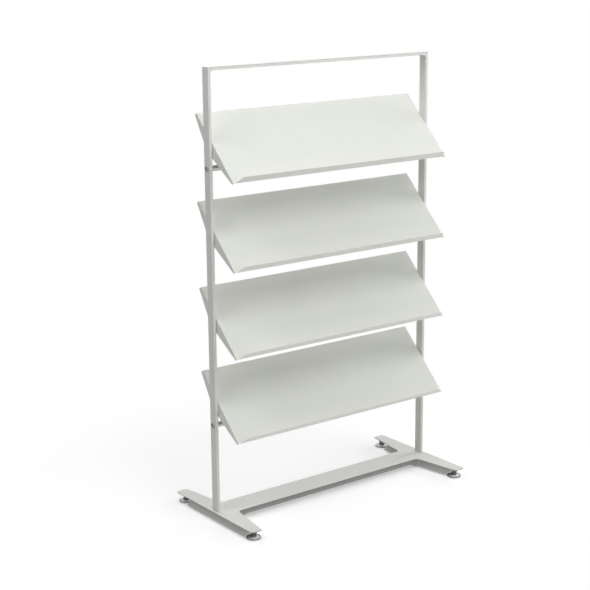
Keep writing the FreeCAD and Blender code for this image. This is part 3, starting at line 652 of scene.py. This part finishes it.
def build_metal_group():
    """Worked metal: fine draw lines or polish marks, and smudges that dull it a little."""
    group, given, result = new_group(
        "worked_metal", {"Colour": (0.6, 0.6, 0.6, 1), "Marks": 900.0, "Smudge": 0.05,
                         "Polish": 0.25})
    place = object_place(group)
    marks = noise_node(group, place, given.outputs["Marks"], 3.0)
    smudges = noise_node(group, place, SMUDGE_SCALE, 3.0)
    tone = math_node(group, "MULTIPLY", range_node(group, smudges, 0.94, 1.03),
                     range_node(group, marks, 0.97, 1.03))
    group.links.new(shade_node(group, given.outputs["Colour"], tone), result.inputs["Colour"])
    dull = range_node(group, smudges, 0.0, given.outputs["Smudge"])
    group.links.new(math_node(group, "ADD", given.outputs["Polish"], dull),
                    result.inputs["Roughness"])
    group.links.new(marks, result.inputs["Height"])
    return group


def build_moulded_group():
    """Moulded plastic or rubber: a spark-eroded grain and slight unevenness of tone."""
    group, given, result = new_group(
        "moulded_skin", {"Colour": (0.1, 0.1, 0.1, 1), "Grain": 1500.0, "Gloss": 0.5})
    place = object_place(group)
    grain = noise_node(group, place, given.outputs["Grain"], 1.0)
    patches = noise_node(group, place, PATCH_SCALE, 2.0)
    group.links.new(shade_node(group, given.outputs["Colour"],
                               range_node(group, patches, 0.93, 1.07)), result.inputs["Colour"])
    group.links.new(math_node(group, "ADD", given.outputs["Gloss"],
                              range_node(group, patches, -0.05, 0.05)),
                    result.inputs["Roughness"])
    group.links.new(grain, result.inputs["Height"])
    return group


metal_group = build_metal_group()
moulded_group = build_moulded_group()


def metal(name, colour, marks, smudge, polish, metallic=1.0, bump=0.1, depth=0.00005):
    return finish_material(name, metal_group, {"Colour": colour, "Marks": marks,
                                               "Smudge": smudge, "Polish": polish},
                           metallic=metallic, bump=bump, depth=depth)


def moulded(name, colour, grain, gloss, bump=0.1):
    return finish_material(name, moulded_group, {"Colour": colour, "Grain": grain,
                                                 "Gloss": gloss}, bump=bump)


black_oxide = metal("black_oxide", (0.18, 0.18, 0.178, 1), marks=1100.0, smudge=0.1,
                    polish=0.42, bump=0.2)
dull_nickel = metal("dull_nickel", (0.36, 0.36, 0.35, 1), marks=1400.0, smudge=0.08,
                    polish=0.34)
bolt_dish_painted_shade = metal("bolt_dish_painted_shade", (0.12, 0.12, 0.118, 1), marks=1100.0, smudge=0.1,
                     polish=0.5, metallic=0.6, bump=0.2)
zinc = metal("bright_zinc", (0.60, 0.61, 0.62, 1), marks=700.0, smudge=0.12, polish=0.34,
             bump=0.2)
washer_nylon = moulded("washer_nylon", (0.70, 0.70, 0.67, 1), grain=1200.0, gloss=0.5)

pivots = sorted((hinge["pos_m"][2] for hinge in tray_hinges.values()), reverse=True)
tray_count = len(pivots)
tray_pitch = pivots[0] - pivots[1]

SCREW_HEAD_RADIUS = 6 * mm
SCREW_HEAD_HEIGHT = 3.3 * mm
SCREW_FLAT = 3.4 * mm                 # radius of the flat on top of the button head
SCREW_DOME = (2.6 * mm, 2.3 * mm)     # how far the dome spreads, and how far it falls
SCREW_BRIM = 1.0 * mm
SCREW_BREAK = 0.3 * mm                # broken edge under the head
SCREW_SOCKET = 4 * mm
SCREW_SOCKET_DEPTH = 2.2 * mm
SCREW_RADIUS = 3 * mm
SCREW_REACH = 12.2 * mm
SCREW_POINT = 0.6 * mm                # chamfer at the tip
SCREW_SIDES = 32
DOME_ANGLES = [math.radians(angle) for angle in range(15, 91, 15)]

button = [(0, -SCREW_HEAD_HEIGHT), (SCREW_FLAT, -SCREW_HEAD_HEIGHT)]
button += [(SCREW_FLAT + SCREW_DOME[0] * math.sin(angle),
            -SCREW_BRIM - SCREW_DOME[1] * math.cos(angle)) for angle in DOME_ANGLES]
button += [(SCREW_HEAD_RADIUS, -SCREW_BREAK), (SCREW_HEAD_RADIUS - SCREW_BREAK, 0),
           (SCREW_RADIUS, 0), (SCREW_RADIUS, SCREW_REACH - SCREW_POINT),
           (SCREW_RADIUS - SCREW_POINT, SCREW_REACH), (0, SCREW_REACH)]
screws = add_piece("pivot_screws", lathe("pivot_screws", button, SCREW_SIDES, "X"))
sunk_hexagon(screws, SCREW_SOCKET, -2 * SCREW_HEAD_HEIGHT,
             -SCREW_HEAD_HEIGHT + SCREW_SOCKET_DEPTH)
soften(screws, 0)
set_in_pairs(screws, tray_count, pivots[0], tray_pitch, TRAY_END - TRAY_SHEET, zinc)
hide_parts(*["tray_%d_pivot_screws" % index for index in range(1, tray_count + 1)])
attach(screws, "frame")

WASHER_RADIUS = 16 * mm
WASHER_HOLE = 3.3 * mm
WASHER_EDGE = 0.4 * mm
WASHER_SIDES = 48
washer_width = POST_INSIDE - TRAY_END
ring = [(WASHER_HOLE, 0), (WASHER_RADIUS - WASHER_EDGE, 0), (WASHER_RADIUS, WASHER_EDGE),
        (WASHER_RADIUS, washer_width - WASHER_EDGE), (WASHER_RADIUS - WASHER_EDGE, washer_width),
        (WASHER_HOLE, washer_width), (WASHER_HOLE, 0)]
washers = add_piece("pivot_washers", lathe("pivot_washers", ring, WASHER_SIDES, "X"))
soften(washers, 0)
set_in_pairs(washers, tray_count, pivots[0], tray_pitch, TRAY_END, washer_nylon)
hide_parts(*["tray_%d_spacers" % index for index in range(1, tray_count + 1)])
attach(washers, "frame")

ROD_NAMES = ("upper", "lower")
rod_levels = [sum((corner.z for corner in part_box(name + "_tie_rod")), 0.0) / 2
              for name in ROD_NAMES]
BOLT_HEAD_RADIUS = 12 * mm
BOLT_HEAD_HEIGHT = 3.2 * mm
BOLT_ROUND = 1.6 * mm                 # rounding of the head's upper edge
BOLT_BREAK = 0.2 * mm                 # broken edge under the head
BOLT_DISH_RADIUS = 7.5 * mm
BOLT_DISH_DEPTH = 1.4 * mm
BOLT_DISH_EDGE = 0.3 * mm
BOLT_RADIUS = 4 * mm
BOLT_REACH = 32 * mm
BOLT_POINT = 0.8 * mm                 # chamfer at the tip
BOLT_SOCKET = 8 * mm
BOLT_SOCKET_DEPTH = 4.2 * mm
BOLT_SIDES = 40
SLACK = 0.1 * mm                      # when asking whether a face lies inside a radius

dish_floor = BOLT_HEAD_HEIGHT - BOLT_DISH_DEPTH
bolt = [(0, -BOLT_REACH), (BOLT_RADIUS - BOLT_POINT, -BOLT_REACH),
        (BOLT_RADIUS, -BOLT_REACH + BOLT_POINT), (BOLT_RADIUS, 0),
        (BOLT_HEAD_RADIUS - BOLT_BREAK, 0), (BOLT_HEAD_RADIUS, BOLT_BREAK),
        (BOLT_HEAD_RADIUS, BOLT_HEAD_HEIGHT - BOLT_ROUND)]
bolt += [(BOLT_HEAD_RADIUS - BOLT_ROUND * (1 - math.cos(angle)),
          BOLT_HEAD_HEIGHT - BOLT_ROUND * (1 - math.sin(angle))) for angle in DOME_ANGLES]
bolt += [(BOLT_DISH_RADIUS + BOLT_DISH_EDGE, BOLT_HEAD_HEIGHT),
         (BOLT_DISH_RADIUS, BOLT_HEAD_HEIGHT - BOLT_DISH_EDGE),
         (BOLT_DISH_RADIUS - BOLT_DISH_DEPTH, dish_floor), (0, dish_floor)]
bolts = add_piece("tie_rod_bolts", lathe("tie_rod_bolts", bolt, BOLT_SIDES, "X"))
sunk_hexagon(bolts, BOLT_SOCKET, dish_floor - BOLT_SOCKET_DEPTH, 2 * BOLT_HEAD_HEIGHT)
soften(bolts, 0)
set_in_pairs(bolts, len(rod_levels), rod_levels[0], rod_levels[0] - rod_levels[1],
             POST_OUTSIDE, dull_nickel)
# The dish and the socket sunk in it are coloured near black: painted shade.
bolts.data.materials.append(bolt_dish_painted_shade)
for face in bolts.data.polygons:
    spots = [bolts.data.vertices[index].co for index in face.vertices]
    level = min(rod_levels, key=lambda z: abs(z - spots[0].z))
    if max(math.hypot(spot.y, spot.z - level) for spot in spots) < BOLT_DISH_RADIUS + SLACK:
        face.material_index = 1
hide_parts(*[name + "_rod_bolts" for name in ROD_NAMES])
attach(bolts, "frame")

# --------------------------------------------------------------------------------- tie rods
# Two round tubes of 22 mm, polished and chrome plated, stand between the posts and keep them
# apart. Each rod is pulled against the posts' inner faces by its two bolts.

ROD_RADIUS = 11 * mm
ROD_EDGE = 0.5 * mm
ROD_SIDES = 64
chrome = metal("polished_chrome", (0.52, 0.52, 0.51, 1), marks=2200.0, smudge=0.05, polish=0.2,
               bump=0.04, depth=0.00003)
for name, level in zip(ROD_NAMES, rod_levels):
    rod_profile = [(0, -POST_INSIDE), (ROD_RADIUS - ROD_EDGE, -POST_INSIDE),
                   (ROD_RADIUS, -POST_INSIDE + ROD_EDGE), (ROD_RADIUS, POST_INSIDE - ROD_EDGE),
                   (ROD_RADIUS - ROD_EDGE, POST_INSIDE), (0, POST_INSIDE)]
    mesh = lathe(name + "_rod", rod_profile, ROD_SIDES, "X")
    mesh.transform(Matrix.Translation((0, 0, level)))
    rod = soften(add_piece(name + "_rod", mesh), 0)
    rod.data.materials.append(chrome)
    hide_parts(name + "_tie_rod")
    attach(rod, "frame")

# ----------------------------------------------------------------------------- levelling feet
# Each foot is a pressed and nickel plated round pad with a rolled rim and a raised hub, a
# moulded collar that holds the stem's swivel, and a soft glide below. The blackened threaded
# stem has a hexagon for a spanner and climbs in a hexagon boss welded under the arm's tip.

PAD_RADIUS = 28 * mm
PAD_TOP = 6.4 * mm
PAD_BOTTOM = 1.2 * mm
RIM_WIDTH = 4.4 * mm
DISH_LEVEL = 4.8 * mm
HUB_FOOT = 21 * mm
HUB_RADIUS = 11 * mm
HUB_TOP = 8.6 * mm
SPIGOT_RADIUS = 9.2 * mm
GLIDE_RADIUS = 24 * mm
GLIDE_THICKNESS = 2.2 * mm
COLLAR_TOP = 13 * mm
COLLAR_BEVEL = 1.6 * mm
NECK_RADIUS = 5 * mm
HEX_FLATS = 19 * mm
HEX_BOTTOM, HEX_TOP = 13.3 * mm, 17.3 * mm
STEM_RADIUS = 6 * mm
STEM_TOP = 33.8 * mm
THREAD_PITCH = 1.75 * mm
THREAD_DEPTH = 0.9 * mm
BOSS_FLATS = 22 * mm
BOSS_BOTTOM, BOSS_TOP = 20.4 * mm, 35 * mm
PAD_EDGE = 0.5 * mm
GLIDE_EDGE = 0.5 * mm
GLIDE_PLAY = 0.2 * mm                # round the glide, in its pocket under the pad
POCKET_EDGE = (0.5 * mm, 0.3 * mm)   # the pocket's chamfer: out from the glide, and up
RIM_TURN, RIM_STEPS = 150, 10        # degrees that the rim is rolled through
RIM_FOOT = ((0.3 * mm, 0.2 * mm), (0.8 * mm, 0))   # in from the rim, and above the dish
HUB_SHARES = (0, 0.15, 0.3, 0.45, 0.6, 0.75, 0.9, 1)
SPIGOT_PLAY = 0.05 * mm
COLLAR_EDGE, COLLAR_STEPS = 0.2 * mm, 5
NECK_PLAY, NECK_DEPTH, NECK_SOCKET = 0.1 * mm, 2.5 * mm, 3 * mm
MOUTH = (0.4 * mm, 0.3 * mm)         # the collar's mouth: out from the neck, and down
OVERLAP = 0.5 * mm                   # of the stem's neck and thread with its hexagon
HEX_CHAMFER, BOSS_CHAMFER = 0.6 * mm, 0.8 * mm
CONE_SPREAD, CONE_FALL = 3, 1.2      # the chamfering cone, in chamfers
THREAD_ROWS = 8                      # in each turn
THREAD_RUNOUT = 0.9                  # share of the thread's depth taken off at its ends
PAD_SIDES, COLLAR_SIDES, GLIDE_SIDES, NECK_SIDES = 72, 48, 64, 32
CHAMFER_SIDES, THREAD_SIDES = 48, 32

collar_plastic = moulded("collar_plastic", (0.10, 0.10, 0.099, 1), grain=1500.0, gloss=0.45)
# The pad is one pressed plate, but its rim is coloured dark as painted shade and its dish light as
# painted light.
pad_rim_shade_nickel = metal("pad_rim_painted_shade", (0.25, 0.25, 0.245, 1), marks=1400.0, smudge=0.06, polish=0.26)
pad_dish_painted_light = metal("pad_dish_painted_light", (0.85, 0.85, 0.835, 1), marks=2600.0, smudge=0.08,
                       polish=0.45, metallic=0.25, bump=0.25)
glide_rubber = moulded("glide_rubber", (0.05, 0.05, 0.05, 1), grain=1100.0, gloss=0.75,
                       bump=0.2)

rim_middle = (PAD_RADIUS - RIM_WIDTH / 2, PAD_TOP - RIM_WIDTH / 2)
pad_profile = [(SPIGOT_RADIUS, GLIDE_THICKNESS), (GLIDE_RADIUS + GLIDE_PLAY, GLIDE_THICKNESS),
               (GLIDE_RADIUS + GLIDE_PLAY, PAD_BOTTOM + POCKET_EDGE[1]),
               (GLIDE_RADIUS + POCKET_EDGE[0], PAD_BOTTOM), (PAD_RADIUS - PAD_EDGE, PAD_BOTTOM),
               (PAD_RADIUS, PAD_BOTTOM + PAD_EDGE)]
pad_profile += arc_points(rim_middle, RIM_WIDTH / 2, 0, RIM_TURN, RIM_STEPS)
pad_profile += [(PAD_RADIUS - RIM_WIDTH - inward, DISH_LEVEL + up) for inward, up in RIM_FOOT]
pad_profile += [(HUB_FOOT + (HUB_RADIUS - HUB_FOOT) * share,
                 DISH_LEVEL + (HUB_TOP - DISH_LEVEL) * (3 - 2 * share) * share ** 2)
                for share in HUB_SHARES]
pad_profile += [(SPIGOT_RADIUS, HUB_TOP), (SPIGOT_RADIUS, GLIDE_THICKNESS)]
spigot = SPIGOT_RADIUS - SPIGOT_PLAY
collar_profile = [(0, GLIDE_THICKNESS), (spigot, GLIDE_THICKNESS), (spigot, HUB_TOP),
                  (HUB_RADIUS - COLLAR_EDGE, HUB_TOP), (HUB_RADIUS, HUB_TOP + COLLAR_EDGE)]
collar_profile += arc_points((HUB_RADIUS - COLLAR_BEVEL, COLLAR_TOP - COLLAR_BEVEL),
                             COLLAR_BEVEL, 0, 90, COLLAR_STEPS)
collar_profile += [(NECK_RADIUS + MOUTH[0], COLLAR_TOP),
                   (NECK_RADIUS + NECK_PLAY, COLLAR_TOP - MOUTH[1]),
                   (NECK_RADIUS + NECK_PLAY, COLLAR_TOP - NECK_SOCKET),
                   (0, COLLAR_TOP - NECK_SOCKET)]
glide_profile = [(0, 0), (GLIDE_RADIUS - GLIDE_EDGE, 0), (GLIDE_RADIUS, GLIDE_EDGE),
                 (GLIDE_RADIUS, GLIDE_THICKNESS), (0, GLIDE_THICKNESS)]


def hexagon_ring(flats, low, high, chamfer):
    """A hexagon with the rounded chamfer that turning leaves on its corners."""
    piece = add_piece("hexagon", prism("hexagon", hexagon_outline(flats, 0), low, high,
                                       lambda x, y, z: (x, y, z)))
    narrow, wide = flats / 2 - chamfer, flats / 2 + chamfer * CONE_SPREAD
    cone = lathe("chamfer", [(0, low - chamfer), (narrow, low - chamfer),
                             (wide, low + chamfer * CONE_FALL),
                             (wide, high - chamfer * CONE_FALL),
                             (narrow, high + chamfer), (0, high + chamfer)], CHAMFER_SIDES)
    return cut_away(piece, [add_piece("chamfer", cone)], "INTERSECT")


def threaded_rod(name, radius, low, high, pitch, depth):
    """A rod whose surface rises and falls along a helix, with plain tapered ends."""
    rows, sides = int(round((high - low) / pitch * THREAD_ROWS)), THREAD_SIDES
    points, faces = [], []
    for row in range(rows + 1):
        z = low + (high - low) * row / rows
        fade = min(1.0, (z - low) / pitch, (high - z) / pitch)
        for side in range(sides):
            share = (z / pitch - side / sides) % 1.0
            dip = abs(2 * share - 1)
            bite = radius - depth * (dip * fade + (1 - fade) * THREAD_RUNOUT)
            angle = 2 * math.pi * side / sides
            points.append((bite * math.cos(angle), bite * math.sin(angle), z))
    for row in range(rows):
        for side in range(sides):
            ahead = (side + 1) % sides
            faces.append((row * sides + side, row * sides + ahead,
                          (row + 1) * sides + ahead, (row + 1) * sides + side))
    faces.append(list(range(sides)))
    faces.append(list(range(rows * sides, (rows + 1) * sides)))
    return mesh_of(name, points, faces)


def joined(name, pieces):
    """One mesh of several closed solids."""
    work = bmesh.new()
    for piece in pieces:
        work.from_mesh(piece.data)
        bpy.data.objects.remove(piece)
    mesh = bpy.data.meshes.new(name)
    work.to_mesh(mesh)
    work.free()
    return add_piece(name, mesh)


def foot_pattern(piece, *finishes):
    """A part of the feet, smoothed and finished, to be copied to each foot."""
    soften(piece, 0)
    for finish in finishes:
        piece.data.materials.append(finish)
    return piece


def placed_copy(name, source, place):
    mesh = source.data.copy()
    mesh.transform(Matrix.Translation(place))
    return add_piece(name, mesh)


pad_pattern = foot_pattern(add_piece("pad_pattern", lathe("pad", pad_profile, PAD_SIDES)),
                           pad_rim_shade_nickel, pad_dish_painted_light)
for face in pad_pattern.data.polygons:      # the dish inside the rim is coloured light as painted light, against the rim's darker painted shade
    spots = [pad_pattern.data.vertices[index].co for index in face.vertices]
    if max(spot.to_2d().length for spot in spots) < PAD_RADIUS - RIM_WIDTH + SLACK:
        face.material_index = 1
collar_pattern = foot_pattern(
    add_piece("collar_pattern", lathe("collar", collar_profile, COLLAR_SIDES)), collar_plastic)
glide_pattern = foot_pattern(
    add_piece("glide_pattern", lathe("glide", glide_profile, GLIDE_SIDES)), glide_rubber)
neck = lathe("neck", [(0, COLLAR_TOP - NECK_DEPTH), (NECK_RADIUS, COLLAR_TOP - NECK_DEPTH),
                      (NECK_RADIUS, HEX_BOTTOM + OVERLAP), (0, HEX_BOTTOM + OVERLAP)], NECK_SIDES)
stem_pattern = foot_pattern(joined("stem_pattern", [
    hexagon_ring(HEX_FLATS, HEX_BOTTOM, HEX_TOP, HEX_CHAMFER), add_piece("neck", neck),
    add_piece("thread", threaded_rod("thread", STEM_RADIUS, HEX_TOP - OVERLAP, STEM_TOP,
                                     THREAD_PITCH, THREAD_DEPTH))]), black_oxide)
boss_pattern = foot_pattern(hexagon_ring(BOSS_FLATS, BOSS_BOTTOM, BOSS_TOP, BOSS_CHAMFER),
                            black_oxide)

for end in ("front", "rear"):
    pair = []
    for side in ("left", "right"):
        label = end + "_" + side
        low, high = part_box("foot_pad_" + label)
        place = Vector(((low.x + high.x) / 2, (low.y + high.y) / 2, 0))
        for kind, pattern, slot, body in (
                ("pad", pad_pattern, "chrome", "foot_" + label),
                ("collar", collar_pattern, "dark_plastic", "foot_" + label),
                ("glide", glide_pattern, "glide_rubber", "foot_" + label),
                ("stem", stem_pattern, "zinc_steel", "stem_" + label)):
            piece = placed_copy("%s_%s" % (kind, label), pattern, place)
            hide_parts("foot_%s_%s" % (kind, label))
            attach(piece, body)
        pair.append(placed_copy("boss_" + label, boss_pattern, place))
    bosses = joined(end + "_bosses", pair)
    bosses.data.materials.append(black_oxide)
    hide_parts(end + "_foot_nuts")
    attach(bosses, "frame")
for pattern in (pad_pattern, collar_pattern, glide_pattern, stem_pattern, boss_pattern):
    bpy.data.objects.remove(pattern)

# --------------------------------------------------------------------------- hidden fixings
# The backing plates and cap screws under the posts, the plugs inside posts and rods, and the
# threaded inserts are all zinc plated steel, as they come.

HIDDEN = ("_backing_plate", "_post_screws", "_post_end_plug", "_rod_end_plugs", "_post_inserts")
for name, node in nodes.items():
    if name.endswith(HIDDEN):
        node.data.materials.clear()
        node.data.materials.append(zinc)

# ----------------------------------------------------------------------------------- studio
# A plain white floor and backdrop, with large soft boxes overhead, high on all four sides, low
# in front, and strongest on the right. The room is seen as white but gives no light.

FLOOR_HALF = 60.0
FLOOR_GLOW, FLOOR_PAINT, FLOOR_BOUNCE = 0.42, 0.7, 0.88
FADE_START, FADE_END = 0.5, 1.5      # from the middle, where shadows fade into plain white
ROOM_LIGHT = 0.0

floor_mesh = bpy.data.meshes.new("floor")
floor_mesh.from_pydata([(x * FLOOR_HALF, y * FLOOR_HALF, 0)
                        for x, y in ((-1, -1), (1, -1), (1, 1), (-1, 1))], [], [(0, 1, 2, 3)])
floor = add_piece("floor", floor_mesh)
floor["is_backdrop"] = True


def seen_by_camera(tree):
    """1 for rays from the camera, also by way of glossy or clear surfaces, and 0 for others."""
    light = tree.nodes.new("ShaderNodeLightPath")
    seen = math_node(tree, "MAXIMUM", light.outputs["Is Camera Ray"],
                     light.outputs["Is Glossy Ray"])
    return math_node(tree, "MAXIMUM", seen, light.outputs["Is Transmission Ray"])


def build_floor_material(shown, albedo, bounce):
    """A floor that is seen as white with soft shadows near the object, and as plain white
    farther off. Light bounces off it as off plain paint of the tone bounce."""
    material = bpy.data.materials.new("studio_floor")
    material.use_nodes = True
    tree = material.node_tree
    tree.nodes.clear()
    far = new_node(tree, "ShaderNodeVectorMath", {0: object_place(tree)}, operation="LENGTH")
    fade = new_node(tree, "ShaderNodeMapRange",
                    {"Value": far.outputs["Value"], "From Min": FADE_START,
                     "From Max": FADE_END, "To Min": shown, "To Max": 1.0},
                    interpolation_type="SMOOTHSTEP").outputs["Result"]
    glow = new_node(tree, "ShaderNodeEmission", {"Color": (1, 1, 1, 1), "Strength": fade})
    paint = math_node(tree, "MULTIPLY", math_node(tree, "SUBTRACT", 1.0, fade),
                      albedo / (1 - shown))
    lit = new_node(tree, "ShaderNodeBsdfDiffuse", {"Color": paint})
    both = new_node(tree, "ShaderNodeAddShader", {0: glow.outputs[0], 1: lit.outputs[0]})
    plain = new_node(tree, "ShaderNodeBsdfDiffuse", {"Color": (bounce, bounce, bounce, 1)})
    pick = new_node(tree, "ShaderNodeMixShader",
                    {0: seen_by_camera(tree), 1: plain.outputs[0], 2: both.outputs[0]})
    new_node(tree, "ShaderNodeOutputMaterial", {"Surface": pick.outputs[0]})
    return material


floor.data.materials.append(build_floor_material(FLOOR_GLOW, FLOOR_PAINT, FLOOR_BOUNCE))

room = bpy.data.worlds.new("studio_room")
bpy.context.scene.world = room
room.use_nodes = True
room_tree = room.node_tree
room_tree.nodes.clear()
unlit, white = [new_node(room_tree, "ShaderNodeBackground",
                         {"Color": (1, 1, 1, 1), "Strength": strength}).outputs[0]
                for strength in (ROOM_LIGHT, 1.0)]
choice = new_node(room_tree, "ShaderNodeMixShader",
                  {0: seen_by_camera(room_tree), 1: unlit, 2: white})
new_node(room_tree, "ShaderNodeOutputWorld", {"Surface": choice.outputs[0]})

LOOK_AT = Vector((0.0, 0.0, 0.85))
# name: where the lamp is, its width, height and watts
SOFT_BOXES = {
    "overhead_box": ((0.0, 0.0, 4.2), 3.0, 3.0, 27.0),
    "high_front_box": ((0.0, -2.6, 3.8), 2.5, 2.0, 60.0),
    "high_back_box": ((0.0, 2.6, 3.8), 2.5, 2.0, 52.0),
    "high_left_box": ((-2.8, 0.0, 3.6), 2.0, 2.5, 44.0),
    "high_right_box": ((2.8, 0.0, 3.6), 2.0, 2.5, 14.0),
    "low_front_box": ((0.0, -4.5, 1.4), 3.0, 2.4, 34.0),
    "front_right_box": ((3.2, -3.2, 1.8), 2.0, 2.0, 17.0),
    "right_wall_box": ((4.5, 0.0, 1.6), 2.5, 2.5, 85.0),
}
for name, (place, width, height, watts) in SOFT_BOXES.items():
    lamp = bpy.data.lights.new(name, "AREA")
    lamp.shape = "RECTANGLE"
    lamp.size, lamp.size_y = width, height
    lamp.energy = watts
    box = bpy.data.objects.new(name, lamp)
    bpy.context.scene.collection.objects.link(box)
    box.location = place
    box.rotation_euler = (LOOK_AT - box.location).to_track_quat("-Z", "Y").to_euler()

# ----------------------------------------------------------------------------------- camera
# A long lens on the front left, somewhat higher than the top of the rack.

CAMERA_PLACE = Vector((-3.29387, -4.20025, 2.12583))
CAMERA_YAW = math.radians(36.978)
CAMERA_PITCH = math.radians(13.978)
CAMERA_ROLL = math.radians(-0.5032)
SENSOR_WIDTH = 36.0
FOCAL_LENGTH = 86.863

forward = Vector((math.sin(CAMERA_YAW) * math.cos(CAMERA_PITCH),
                  math.cos(CAMERA_YAW) * math.cos(CAMERA_PITCH), -math.sin(CAMERA_PITCH)))
sideways = forward.cross(Vector((0, 0, 1))).normalized()
upright = sideways.cross(forward)
to_right = math.cos(CAMERA_ROLL) * sideways + math.sin(CAMERA_ROLL) * upright
to_top = math.cos(CAMERA_ROLL) * upright - math.sin(CAMERA_ROLL) * sideways
lens = bpy.data.cameras.new("camera")
lens.sensor_width = SENSOR_WIDTH
lens.lens = FOCAL_LENGTH
camera = bpy.data.objects.new("camera", lens)
bpy.context.scene.collection.objects.link(camera)
camera.matrix_world = (Matrix.Translation(CAMERA_PLACE)
                       @ Matrix((to_right, to_top, -forward)).transposed().to_4x4())
bpy.context.scene.camera = camera
bpy.context.scene.view_settings.view_transform = "Standard"

low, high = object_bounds()
